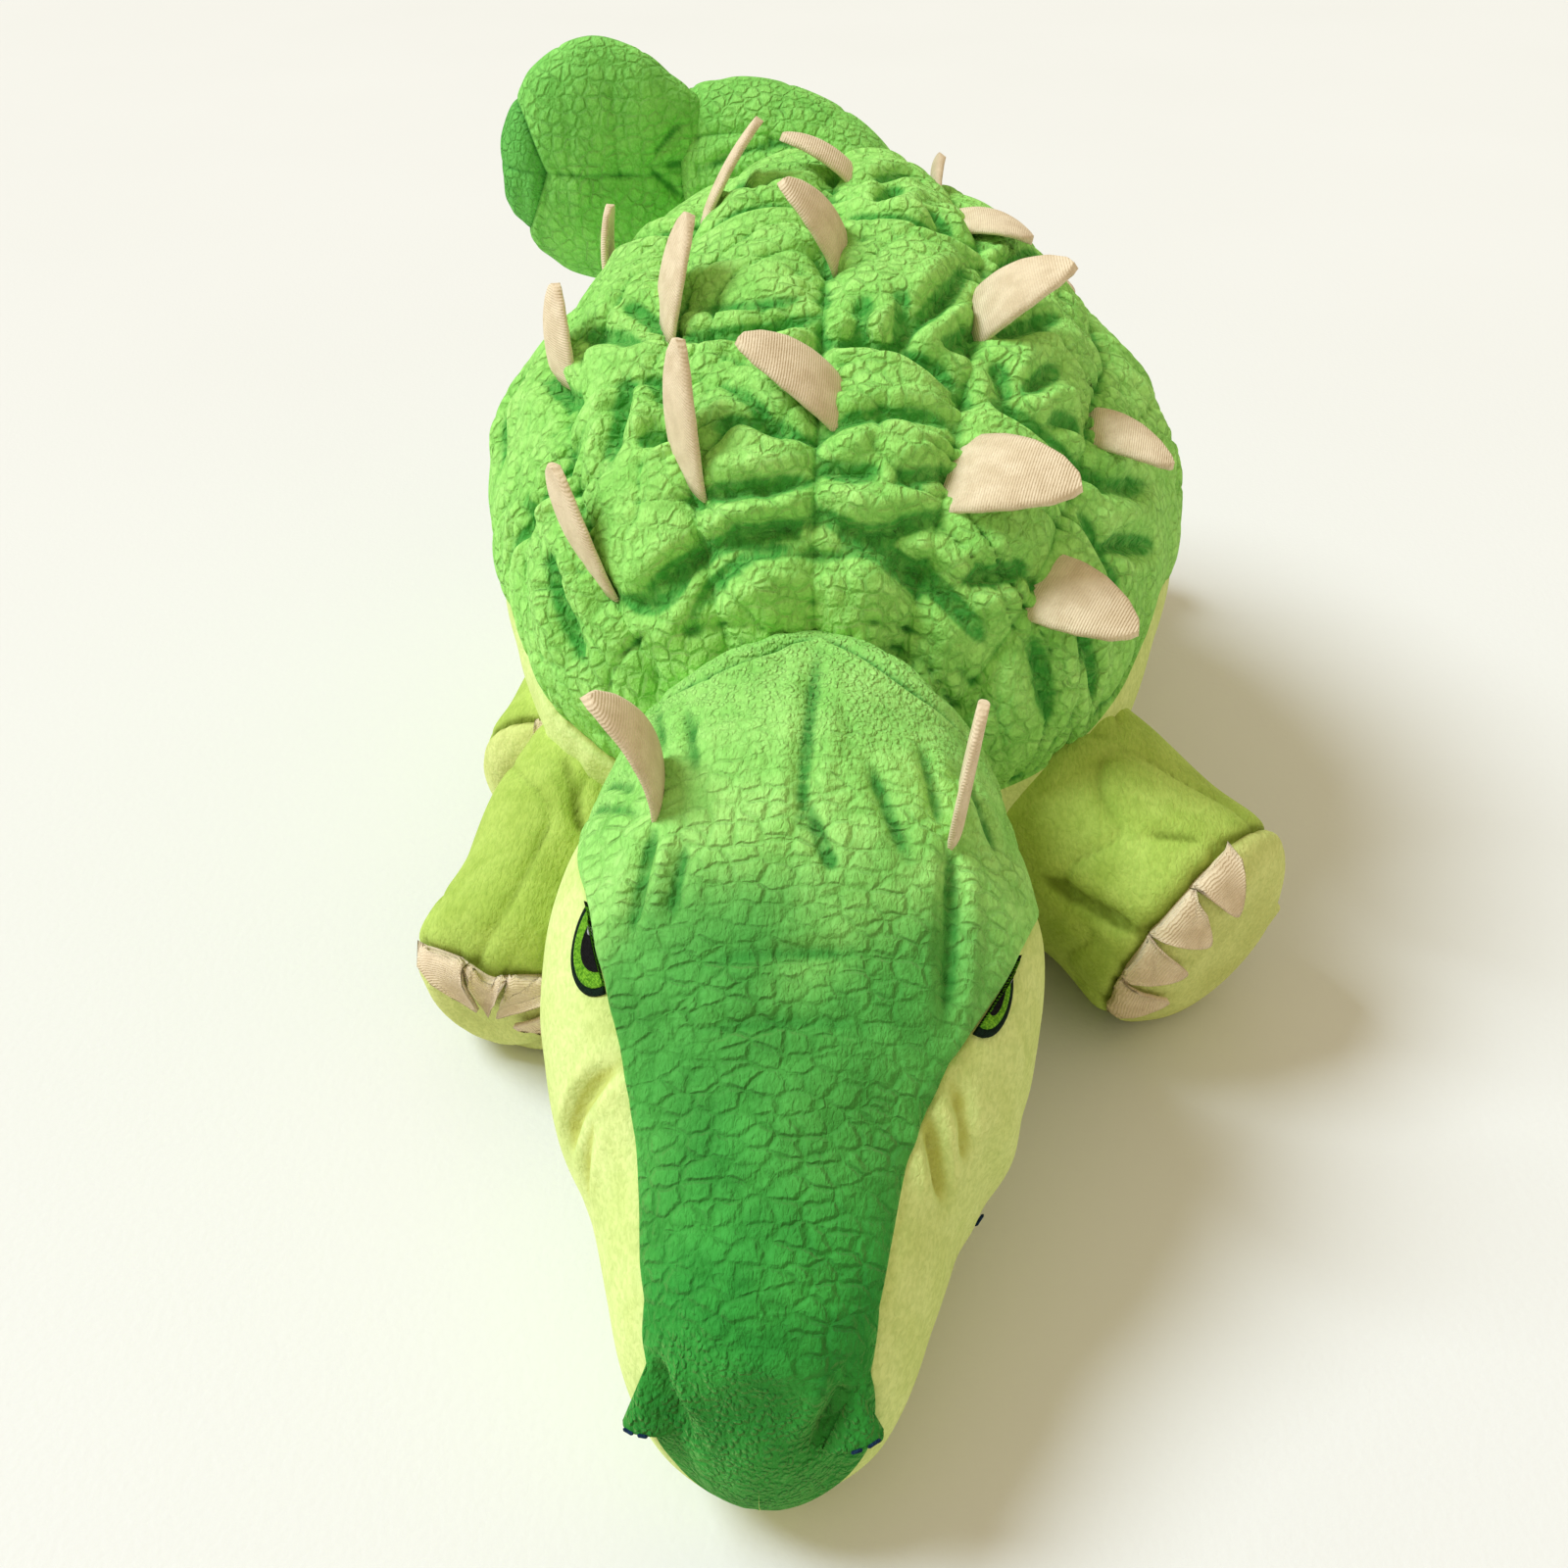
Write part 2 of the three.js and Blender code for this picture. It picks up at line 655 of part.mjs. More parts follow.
// Tail: its path starts in the rump; a camera-side seam runs along it, between the upper and lower panels
const tailRootShares = { across: 0.03, up: 0.63 };
const tailPathShares = [
  [0, 0, 0],
  [0.012, 0.526, 0.351],
  [-0.15, 0.895, 0.737],
  [-0.55, 1.018, 0.982],
  [-1, 1, 1],
];
const tailSectionShares = [
  [0.06, 0.8],
  [0.3, 1.02],
  [0.56, 0.98],
  [0.82, 0.93],
  [0.95, 0.7],
];
const tailSeatShare = 0.24;
const seamTilt = 36;
const tailRoot = at(
  torsoShift + (torsoWidth / 2) * tailRootShares.across,
  torsoFront + torsoLength - tailTuck,
  torsoHeight * tailRootShares.up,
);
const tailCurve = new THREE.CatmullRomCurve3(
  tailPathShares.map(([x, y, z]) => tailRoot.clone().add(at(x * tailSpan, y * tailReach, z * tailClimb))),
);
const seamFacing = forwards.clone().applyAxisAngle(sideways, -seamTilt * degree);
const tailForm = formOf(
  tailSectionShares.map(([along, thick]) => {
    const axis = tailCurve.getTangentAt(along);
    const side = seamFacing.clone().cross(axis).normalize();
    const radius = (tailThickness / 2) * thick;
    const angles = Array.from({ length: tailSides }, (_, i) => (i * 360) / tailSides);
    return ringOf(tailCurve.getPointAt(along), side, axis.clone().cross(side), radius, radius, radius, angles);
  }),
  tailCurve.getPointAt(0),
  tailCurve.getPointAt(1),
);
const tailPivot = tailCurve.getPointAt(tailSeatShare);
const tailCuts = sweptSolid(torsoForm, tailPivot, tailSwing);
const onTop = ({ column }) => (column + tailSides / 4) % tailSides >= tailSides / 2;
meshOf("tail_panel_upper", panelOf(tailForm, onTop).subtract(tailCuts), paint.armour);
meshOf("tail_panel_lower", panelOf(tailForm, (face) => !onTop(face)).subtract(tailCuts), paint.armour);
meshOf("tail_stuffing", insetSolid(tailForm, fabric + fillGap).subtract(tailCuts), paint.filling);

// Club: shares of its length, half thickness, and half height above and below its middle
const clubSectionShares = [
  [0.08, 0.7, 0.54, 0.64],
  [0.3, 0.95, 0.9, 0.94],
  [0.52, 1, 1, 1],
  [1 - clubTipLength / clubLength, 0.84, 0.74, 0.78],
  [0.94, 0.54, 0.4, 0.44],
];
const clubTipBand = 4;
const clubDropShare = 0.05;
const clubSeatShare = 0.35;
const tailEnd = tailCurve.getPointAt(1);
const clubRoot = tailEnd.clone().add(at(clubTuck, 0, -clubHeight * clubDropShare));
const clubEnd = clubRoot.clone().addScaledVector(sideways, -clubLength);
const clubForm = formOf(
  clubSectionShares.map(([along, thick, above, below]) =>
    ringOf(
      clubRoot.clone().lerp(clubEnd, along),
      forwards,
      upwards,
      (clubThickness / 2) * thick,
      (clubHeight / 2) * above,
      (clubHeight / 2) * below,
      Array.from({ length: clubSides }, (_, i) => (i * 360) / clubSides),
    ),
  ),
  clubRoot,
  clubEnd,
);
const clubPivot = tailEnd.clone().addScaledVector(sideways, (tailThickness / 2) * clubSeatShare);
const clubCuts = sweptSolid(tailForm, clubPivot, clubBend);
const aboveSeam = ({ column }) => column < clubSides / 2;
const clubPanel = (belongs) => panelOf(clubForm, belongs).subtract(clubCuts);
meshOf("club_panel_upper", clubPanel((face) => face.band < clubTipBand && aboveSeam(face)), paint.armour);
meshOf("club_panel_lower", clubPanel((face) => face.band < clubTipBand && !aboveSeam(face)), paint.armour);
meshOf("club_tip", clubPanel(({ band }) => band >= clubTipBand), paint.tip);
meshOf("club_stuffing", insetSolid(clubForm, fabric + fillGap).subtract(clubCuts), paint.filling);

// The part's own origin is the middle of the floor under its bounding box
const bounds = new THREE.Box3().setFromObject(toy);
const middle = bounds.getCenter(at(0, 0, 0));
toy.children.forEach((mesh) => mesh.position.set(-middle.x, -middle.y, -bounds.min.z));

export default toy;
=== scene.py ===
# A plush ankylosaurus on its belly: sewn and stuffed panels, felt spikes, horns and claws, embroidered eyes.
# Forms are drawn in millimetres from the neck seam's place on the floor, as in the CAD source. Each stuffed
# form is a grid: a share from 0 to 1 runs along it, and degrees run round it.
import math
import bpy
import numpy as np
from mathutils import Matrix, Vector


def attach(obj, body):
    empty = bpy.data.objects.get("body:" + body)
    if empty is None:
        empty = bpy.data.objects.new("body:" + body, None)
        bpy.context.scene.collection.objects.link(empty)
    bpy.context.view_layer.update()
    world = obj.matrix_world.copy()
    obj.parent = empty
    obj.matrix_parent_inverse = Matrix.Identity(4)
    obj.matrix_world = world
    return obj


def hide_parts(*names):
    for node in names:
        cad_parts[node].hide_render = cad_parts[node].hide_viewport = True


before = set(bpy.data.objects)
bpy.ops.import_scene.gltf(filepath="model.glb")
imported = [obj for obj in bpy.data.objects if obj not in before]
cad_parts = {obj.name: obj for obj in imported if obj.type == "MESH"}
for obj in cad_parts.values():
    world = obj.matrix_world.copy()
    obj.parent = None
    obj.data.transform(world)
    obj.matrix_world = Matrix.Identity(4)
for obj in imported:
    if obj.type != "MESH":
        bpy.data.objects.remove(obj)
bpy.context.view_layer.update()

# The neck seam's place in the row frame, and the three axes
ORIGIN = np.array([2.885, -56.71, 0.0])
X, Y, Z = np.eye(3)
# How far the fabric stays above the floor, and how softly it is pressed flat there
FLOOR_GAP, FLOOR_SOFTNESS = 0.3, 3


# Smooth tables

def smooth(xs, ys, at):
    """A curve through the points that doesn't overshoot them."""
    step = np.diff(xs)
    slope = np.diff(ys) / step
    lean = np.zeros(len(xs))
    for i in range(1, len(xs) - 1):
        a, b = slope[i - 1], slope[i]
        if a * b > 0:
            u, v = 2 * step[i] + step[i - 1], step[i] + 2 * step[i - 1]
            lean[i] = (u + v) / (u / a + v / b)
    lean[0], lean[-1] = slope[0], slope[-1]
    k = np.clip(np.searchsorted(xs, at) - 1, 0, len(step) - 1)
    h = step[k]
    t = np.clip((at - xs[k]) / h, 0, 1)
    return (
        ys[k] * (1 + 2 * t) * (1 - t) ** 2 + lean[k] * h * t * (1 - t) ** 2
        + ys[k + 1] * t * t * (3 - 2 * t) + lean[k + 1] * h * t * t * (t - 1)
    )


def rounded(share):
    """A share of a length as a share of a half turn, in which domed ends come out round."""
    return np.arccos(np.clip(1 - 2 * share, -1, 1)) / math.pi


class Sections:
    """Columns of a table of sections, read at any share of the length, which is its first column."""

    def __init__(self, rows):
        self.rows = np.array(rows, float)
        self.turn = rounded(self.rows[:, 0])

    def at(self, share):
        turn = rounded(share)
        return [smooth(self.turn, self.rows[:, i], turn) for i in range(1, self.rows.shape[1])]


def soft_step(value, low, high):
    t = np.clip((value - low) / (high - low), 0, 1)
    return t * t * (3 - 2 * t)


def near(gap, reach, sharpness=1):
    """1 at a seam or a line, and falling to nothing beyond this reach."""
    return np.exp(-((gap / reach) ** sharpness))


def unit(v):
    v = np.asarray(v, float)
    return v / np.linalg.norm(v, axis=-1, keepdims=True)


def ring(middle, side, shift, rise, lift):
    """Places round a middle: shifted along one direction and lifted along another."""
    return middle + side * shift[..., None] + rise * lift[..., None]


def steps_round(count):
    return (1 - np.cos(np.linspace(0, math.pi, count))) / 2


def mixed_steps(count, round_share):
    """Shares that are closer together at both ends."""
    return round_share * steps_round(count) + (1 - round_share) * np.linspace(0, 1, count)


# Torso and head

BACK_POWER, BELLY_POWER, FLAT_BELLY = 2.05, 2.1, 0.967


class Trunk:
    """Sections along a level line, each a power curve that is flattened below. Degrees are 0 at this side."""

    def __init__(self, rows, length, width, height, shift, start, side, lean=0.0):
        self.table, self.length, self.width, self.height = Sections(rows), length, width, height
        self.shift, self.start, self.side, self.rise = shift, start, side, lean * X + Z

    def inside(self, across, along, up):
        """A place inside, as shares of half the width, of the length and of the height."""
        half = self.width / 2
        return np.array([self.shift + half * across, self.start + self.length * along, self.height * up])

    def at(self, share, degrees):
        share, turn = np.asarray(share, float), np.radians(degrees)
        wide, top, under, level = self.table.at(share)
        middle = np.stack(
            [np.full_like(share, self.shift), self.start + self.length * share, self.height * level], -1
        )
        across, up = np.cos(turn), np.sin(turn)
        exponent = np.where(up < 0, 2 / BELLY_POWER, 2 / BACK_POWER)
        shift = np.sign(across) * np.abs(across) ** exponent * (self.width / 2 * wide)
        climb = np.abs(up) ** exponent
        above, below = self.height * (top - level), self.height * (level - under)
        lift = np.where(up < 0, -np.minimum(1, climb / FLAT_BELLY) * below, climb * above)
        return ring(middle, self.side, shift, self.rise, lift)


# Each row of both tables: share of the length, then the width, and the heights of the top, the underside
# and the widest place, as shares of the form's width and height
TORSO = Trunk(
    [
        [0, 0, 0.33, 0.33, 0.33], [0.01, 0.234, 0.454, 0.208, 0.333], [0.033, 0.438, 0.556, 0.139, 0.352],
        [0.065, 0.594, 0.685, 0.079, 0.38], [0.111, 0.711, 0.787, 0.032, 0.407],
        [0.176, 0.795, 0.847, 0.007, 0.426], [0.258, 0.87, 0.894, 0, 0.44], [0.356, 0.94, 0.944, 0, 0.449],
        [0.471, 1, 0.981, 0, 0.454], [0.585, 0.95, 1, 0, 0.454], [0.699, 0.845, 1, 0, 0.454],
        [0.797, 0.73, 0.986, 0.023, 0.468], [0.879, 0.586, 0.94, 0.083, 0.486],
        [0.938, 0.422, 0.861, 0.185, 0.505], [0.974, 0.273, 0.769, 0.306, 0.519],
        [0.993, 0.133, 0.662, 0.417, 0.523], [1, 0, 0.525, 0.525, 0.525],
    ],
    length=306, width=256, height=216, shift=-2, start=-14, side=-X, lean=-0.035,
)
HEAD = Trunk(
    [
        [0, 0, 0.54, 0.54, 0.54], [0.0166, 0.652, 0.861, 0.219, 0.54], [0.058, 0.766, 0.927, 0.161, 0.54],
        [0.125, 0.837, 0.978, 0.095, 0.54], [0.195, 0.879, 1, 0.058, 0.54],
        [0.316, 0.936, 0.985, 0.022, 0.555], [0.441, 1, 0.912, 0, 0.54], [0.528, 0.979, 0.825, 0, 0.496],
        [0.595, 0.929, 0.759, 0, 0.46], [0.649, 0.865, 0.708, 0, 0.423], [0.699, 0.759, 0.664, 0, 0.387],
        [0.744, 0.674, 0.628, 0.007, 0.35], [0.819, 0.589, 0.569, 0.022, 0.307],
        [0.877, 0.525, 0.526, 0.036, 0.277], [0.919, 0.454, 0.489, 0.051, 0.255],
        [0.952, 0.369, 0.445, 0.066, 0.241], [0.977, 0.241, 0.372, 0.095, 0.226],
        [0.994, 0.113, 0.292, 0.139, 0.215], [1, 0, 0.212, 0.212, 0.212],
    ],
    length=-240.5, width=141, height=137, shift=-5, start=22, side=X,
)


def seam_angle(across):
    return math.degrees(math.acos(across ** (BACK_POWER / 2)))


# The back's lanes: -3 is its left side, -2 and -1 its left seams, 0 the centre seam, 3 its right side
OUTER, INNER = seam_angle(0.76), seam_angle(0.42)
LANES = [0, OUTER, INNER, 90, 180 - INNER, 180 - OUTER, 180]


def lane_angle(lane):
    return np.interp(lane, range(-3, 4), LANES)


# Deep folds of the back: lane and share at each end, how far the middle bows to the tail, and the depth,
# which BACK_DEPTH multiplies
BACK_DEPTH = 1.35
BACK_FOLDS = [
    (-2, 0.09, -1, 0.085, -0.02, 4), (-1.7, 0.075, 0, 0.09, 0, 5), (-1.4, 0.05, 0, 0.075, 0.01, 4),
    (-0.95, 0.125, 0, 0.12, -0.01, 5.5), (-0.8, 0.1, 0, 0.095, -0.01, 3), (-0.8, 0.18, 0, 0.155, 0.01, 4),
    (-0.6, 0.23, -0.2, 0.15, 0, 3), (-1, 0.335, 0, 0.33, -0.025, 6.5), (-0.9, 0.37, 0, 0.36, -0.03, 3),
    (-0.8, 0.53, 0, 0.53, 0.015, 4), (-0.8, 0.7, -0.35, 0.65, -0.06, 5), (-1.35, 0.41, -1.05, 0.34, 0, 4),
    (-1.6, 0.62, -1.05, 0.58, -0.02, 4), (-1.75, 0.42, -1.2, 0.33, 0, 4), (-1.35, 0.3, -1.6, 0.185, 0, 4.5),
    (-1.25, 0.29, -1, 0.23, 0, 3.5), (-1.4, 0.2, -1, 0.2, 0, 4), (-2.6, 0.23, -1.8, 0.255, -0.015, 5),
    (-2.25, 0.165, -2.4, 0.07, 0, 4.5), (-2.3, 0.26, -2.35, 0.19, 0, 3.5), (-2.1, 0.41, -1.8, 0.3, 0, 4),
    (-2.5, 0.36, -2.2, 0.5, 0.02, 4), (0, 0.1, 1, 0.115, -0.02, 5.5), (0.35, 0.085, 1.8, 0.06, 0, 5),
    (0, 0.075, 1.2, 0.055, 0.01, 3), (0, 0.165, 1, 0.205, 0.01, 4), (0, 0.14, 0.5, 0.135, -0.01, 4),
    (0.55, 0.12, 1.1, 0.16, 0, 3.5), (0, 0.29, 1, 0.255, 0.01, 6.5), (0.4, 0.28, 0.9, 0.46, -0.03, 5.5),
    (0.75, 0.29, 1, 0.355, 0, 4), (0.25, 0.355, 0.25, 0.275, 0, 4), (0.5, 0.37, 0.45, 0.29, 0, 4),
    (0.1, 0.53, 0.95, 0.52, -0.02, 6), (0.3, 0.54, 0.45, 0.62, 0, 5), (0.6, 0.55, 0.8, 0.52, 0, 5),
    (0.25, 0.62, 0.7, 0.68, 0.02, 4), (1.1, 0.265, 2.1, 0.26, -0.012, 5), (1.15, 0.31, 1.3, 0.265, 0, 4),
    (1.35, 0.27, 1.6, 0.35, 0, 4), (1.55, 0.265, 1.95, 0.305, 0, 4), (1.3, 0.075, 1.9, 0.11, 0, 4.5),
    (2.1, 0.08, 2.6, 0.06, 0, 4), (2.05, 0.205, 2.5, 0.175, 0, 4), (2, 0.27, 2.4, 0.34, -0.03, 4),
    (2.25, 0.19, 2.6, 0.29, 0, 4.5), (1.05, 0.46, 1.6, 0.63, 0, 4.5), (1.1, 0.34, 1.55, 0.44, 0, 4),
    (1.2, 0.52, 2, 0.5, 0.02, 4), (2.1, 0.5, 2.7, 0.42, 0.02, 5), (2.3, 0.11, 2.8, 0.1, 0, 3.5),
]
# Folds of the head: share and degrees at each end, how far the middle bows to the nose, and the depth
HEAD_FOLDS = [
    (0.16, 87, 0.5, 89, 0, 2.4), (0.415, 87, 0.49, 80, 0.02, 3), (0.355, 75, 0.48, 64, 0, 2.4),
    (0.3, 60, 0.42, 56, 0, 2), (0.43, 121, 0.55, 126, 0, 3.4), (0.46, 113, 0.54, 116, 0, 2.2),
    (0.435, 54, 0.62, 51, 0, 4), (0.21, 33, 0.32, 20, 0, 2.6), (0.31, 45, 0.41, 37, 0, 2.2),
    (0.48, 58, 0.59, 56, 0, 1.6), (0.27, 156, 0.38, 128, 0, 2.2), (0.31, 158, 0.41, 126, 0, 2.2),
    (0.59, 112, 0.57, 69, 0, 1.6), (0.655, 115, 0.64, 66, 0, 1.4), (0.24, 122, 0.39, 112, 0, 1.8),
    (0.12, 142, 0.35, 122, 0, 1.8), (0.665, 135, 0.69, 177, 0, 4), (0.7, 46, 0.755, 25, 0, 4),
    (0.69, 147, 0.73, 182, 0, 2.4), (0.66, 43, 0.715, 23, 0, 2.4), (0.107, 86, 0.208, 42, 0.035, 5),
    (0.107, 88, 0.19, 120, 0.018, 5), (0.19, 118, 0.17, 150, 0, 3.5), (0.05, 80, 0.13, 45, 0.02, 4.5),
    (0.06, 96, 0.12, 128, 0.01, 4), (0.12, 60, 0.16, 38, 0.01, 3), (0.926, 142, 0.975, 153, 0, 4.5),
    (0.943, 49, 0.984, 33, 0, 3.5),
]
# Seams of the head: share, then degrees above the side for the crown's right and left edges, and below
# it for the mouth line
HEAD_SEAMS = np.array([
    (0, 8, 8, 60), (0.25, 8, 10, 36), (0.35, 10, 21, 33), (0.42, 16, 31, 32), (0.5, 28, 40, 28),
    (0.58, 37.5, 45, 23), (0.65, 46, 47.5, 20), (0.75, 46.5, 43, 19.5), (0.88, 44, 38, 29),
    (0.93, 36, 28, 36), (0.948, 16, 6, 44), (0.962, -9, -17, 54), (0.972, -38, -44, 68),
    (0.98, -68, -70, 84), (0.986, -89.6, -89.6, 89.8), (1, -89.6, -89.6, 89.8),
])


def head_seams(share):
    return [np.interp(share, HEAD_SEAMS[:, 0], HEAD_SEAMS[:, i]) for i in (1, 2, 3)]


# Legs

FRONT_LENGTH, FRONT_THICK, HIND_LENGTH, HIND_THICK, LEG_SINK = 126, 74, 115, 66, 0.5
# Share of the length and of the thickness
LEG = Sections(
    [[0, 0], [0.04, 0.6], [0.17, 0.93], [0.42, 1], [0.68, 0.94], [0.87, 0.98], [0.96, 0.75], [1, 0]]
)
# Each leg: its root as shares of the torso, its heading, its length and its thickness
LEGS = {
    "front_left": ([-0.57, 0.238, 0.265], [-0.2, -0.96, -0.19], FRONT_LENGTH, FRONT_THICK * 0.84),
    "front_right": ([0.405, 0.255, 0.257], [0.64, -0.753, -0.156], FRONT_LENGTH, FRONT_THICK * 1.08),
    "hind_left": ([-0.57, 0.56, 0.213], [-0.252, -0.961, -0.142], HIND_LENGTH, HIND_THICK * 0.94),
    "hind_right": ([0.445, 0.66, 0.238], [0.494, 0.856, -0.152], HIND_LENGTH, HIND_THICK * 1.06),
}
SOLE_SEAM = 0.87


class Leg:
    """A round leg on a straight line from inside the torso, set down until it presses on the floor."""

    def __init__(self, name):
        root, heading, self.length, self.thick = LEGS[name]
        self.start = TORSO.inside(*root)
        self.axis = unit(heading)
        self.side = unit(np.cross(Z, self.axis))
        self.rise = np.cross(self.axis, self.side)
        surface = self.at(*np.meshgrid(steps_round(60), np.arange(0, 360, 6), indexing="ij"))
        self.start[2] -= surface[..., 2].min() + LEG_SINK

    def at(self, share, degrees):
        share, turn = np.asarray(share, float), np.radians(degrees)
        radius = self.thick / 2 * LEG.at(share)[0]
        middle = self.start + self.axis * (self.length * share)[..., None]
        return ring(middle, self.side, radius * np.cos(turn), self.rise, radius * np.sin(turn))


# Tail and club

class Path:
    """A Catmull-Rom curve through some points, read by its length."""

    def __init__(self, points, samples=40):
        points = np.array(points, float)
        points = np.vstack([2 * points[0] - points[1], points, 2 * points[-1] - points[-2]])
        line = []
        for four in zip(points, points[1:], points[2:], points[3:]):
            knots = np.append(0, np.cumsum(np.linalg.norm(np.diff(four, axis=0), axis=1) ** 0.5))
            t = np.linspace(knots[1], knots[2], samples, endpoint=False)[:, None]
            for ends in ([(0, 1), (1, 2), (2, 3)], [(0, 2), (1, 3)], [(1, 2)]):
                parts = [(t - knots[i]) / (knots[j] - knots[i]) for i, j in ends]
                four = [a + (b - a) * part for a, b, part in zip(four, four[1:], parts)]
            line += four
        self.line = np.vstack([*line, points[-2]])
        run = np.linalg.norm(np.diff(self.line, axis=0), axis=1)
        self.run = np.concatenate([[0], np.cumsum(run)]) / run.sum()

    def at(self, share):
        return np.stack([np.interp(share, self.run, self.line[:, i]) for i in range(3)], -1)

    def tangent(self, share, step=0.02):
        return unit(self.at(np.clip(share + step, 0, 1)) - self.at(np.clip(share - step, 0, 1)))


TAIL_SPAN, TAIL_RISE, TAIL_RADIUS, TAIL_INSIDE = 80, 57, 29, 46
TAIL_ROOT = TORSO.inside(0.03, 1, 0.63) - TAIL_INSIDE * Y
# The tail's course as shares of its span to the left, and of its rise backwards and upwards
TAIL_COURSE = np.array(
    [(0, 0, 0), (0.012, 0.526, 0.351), (-0.15, 0.895, 0.737), (-0.55, 1.018, 0.982), (-1, 1, 1)]
)
TAIL_PATH = Path(TAIL_ROOT + TAIL_COURSE * [TAIL_SPAN, TAIL_RISE, TAIL_RISE])
# Share, height, and thickness towards the camera
TAIL = Sections(
    [[0, 0, 0], [0.06, 0.8, 0.8], [0.3, 1.02, 1.02], [0.56, 1.02, 0.95], [0.8, 1.04, 0.72],
     [0.95, 0.9, 0.5], [1, 0, 0]]
)
CAMERA_PITCH, CAMERA_YAW = 36, 3.6
# The way to the camera, which the tail's seam faces
SEAM_FACING = math.sin(math.radians(CAMERA_PITCH)) * Z - math.cos(math.radians(CAMERA_PITCH)) * Y


def tail_at(share, degrees):
    share, turn = np.asarray(share, float), np.radians(degrees)
    axis = TAIL_PATH.tangent(share)
    side = unit(np.cross(SEAM_FACING, axis))
    rise = np.cross(axis, side)
    high, thick = (TAIL_RADIUS * part for part in TAIL.at(share))
    return ring(TAIL_PATH.at(share), side, high * np.cos(turn), rise, thick * np.sin(turn))


CLUB_LENGTH, CLUB_HEIGHT, CLUB_THICK, CLUB_TIP = 92, 100, 46, 17
TIP_SHARE = 1 - CLUB_TIP / CLUB_LENGTH
# Share, thickness, and height above and below the middle
CLUB = Sections(
    [[0, 0, 0, 0], [0.04, 0.52, 0.46, 0.56], [0.18, 0.72, 0.7, 0.76], [0.34, 0.93, 0.92, 0.92],
     [0.52, 1, 1, 1], [TIP_SHARE, 0.84, 0.74, 0.78], [0.94, 0.54, 0.4, 0.44], [1, 0, 0, 0]]
)
CLUB_OVERLAP, CLUB_DROP = 14, 5
CLUB_ROOT = TAIL_PATH.at(1.0) + CLUB_OVERLAP * X - CLUB_DROP * Z


def club_at(share, degrees):
    share, turn = np.asarray(share, float), np.radians(degrees)
    thick, above, below = CLUB.at(share)
    up = np.sin(turn)
    middle = CLUB_ROOT - X * (CLUB_LENGTH * share)[..., None]
    shift = np.cos(turn) * CLUB_THICK / 2 * thick
    lift = up * CLUB_HEIGHT / 2 * np.where(up < 0, below, above)
    return ring(middle, -Y, shift, Z, lift)


NECK_BALL = HEAD.inside(0.355, 0.083, 0.8)
NECK_RADIUS = 7


def neck_at(share, degrees):
    turn, climb = np.radians(degrees), np.radians(180 * share)
    return NECK_BALL + NECK_RADIUS * np.stack(
        [np.sin(climb) * np.cos(turn), -np.cos(climb), np.sin(climb) * np.sin(turn)], -1
    )


# Meshes

def grid_faces(rows, columns, closed=False):
    """Faces of a grid of vertices, closed round where its last column meets its first."""
    at = np.arange(rows * columns).reshape(rows, columns)
    if closed:
        at = np.hstack([at, at[:, :1]])
    return np.stack([at[:-1, :-1], at[:-1, 1:], at[1:, 1:], at[1:, :-1]], -1).reshape(-1, 4)


def sheet_faces(rows, columns):
    """Faces of a thin sheet: its front grid, its back grid, and the rim between them."""
    front, size = grid_faces(rows, columns), rows * columns
    at = np.arange(size).reshape(rows, columns)
    rim = np.concatenate([at[0], at[1:, -1], at[-1, -2::-1], at[-2:0:-1, 0]])
    ahead = np.roll(rim, -1)
    return np.vstack([front, front[:, ::-1] + size, np.stack([ahead, rim, rim + size, ahead + size], 1)])


def mesh_object(name, points, faces, material, values=None, uv=None):
    data = bpy.data.meshes.new(name)
    data.from_pydata(((points + ORIGIN) / 1000).tolist(), [], faces)
    data.materials.append(material)
    data.polygons.foreach_set("use_smooth", [True] * len(data.polygons))
    for key, value in (values or {}).items():
        data.attributes.new(key, "FLOAT", "POINT").data.foreach_set("value", value.astype(np.float32).ravel())
    if uv is not None:
        corners = np.zeros(len(data.loops), np.int32)
        data.loops.foreach_get("vertex_index", corners)
        data.uv_layers.new(name="UVMap").data.foreach_set("uv", uv[corners].astype(np.float32).ravel())
    data.update()
    piece = bpy.data.objects.new(name, data)
    bpy.context.collection.objects.link(piece)
    return piece


def grid_object(name, grid, material, values=None, uv=None):
    return mesh_object(name, grid.reshape(-1, 3), grid_faces(*grid.shape[:2]).tolist(), material, values, uv)


def dress(piece, body, nodes):
    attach(piece, body)
    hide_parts(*nodes)


def outward(grid):
    """Normals of a grid whose rows run along the form and whose columns run round it."""
    normals = np.cross((np.roll(grid, -1, 1) - np.roll(grid, 1, 1)) / 2, np.gradient(grid, axis=0))
    return normals / np.maximum(np.linalg.norm(normals, axis=-1, keepdims=True), 1e-9)


LATTICE = 97


def lattice_noise(u, v, seed):
    """Smooth noise from -1 to 1 with one bump to each unit of u and v."""
    values = np.random.default_rng(seed).uniform(-1, 1, (LATTICE, LATTICE))
    i, j = np.floor(u).astype(int), np.floor(v).astype(int)
    fu, fv = soft_step(u - i, 0, 1), soft_step(v - j, 0, 1)
    a, b, c, d = (values[(i + k) % LATTICE, (j + m) % LATTICE] for m in (0, 1) for k in (0, 1))
    return a + (b - a) * fu + (c - a) * fv + (a - b - c + d) * fu * fv


def blurred(field, reach):
    for axis, count in enumerate(reach):
        field = sum(np.roll(field, step, axis) for step in range(-count, count + 1)) / (2 * count + 1)
    return field


# Stuffed forms

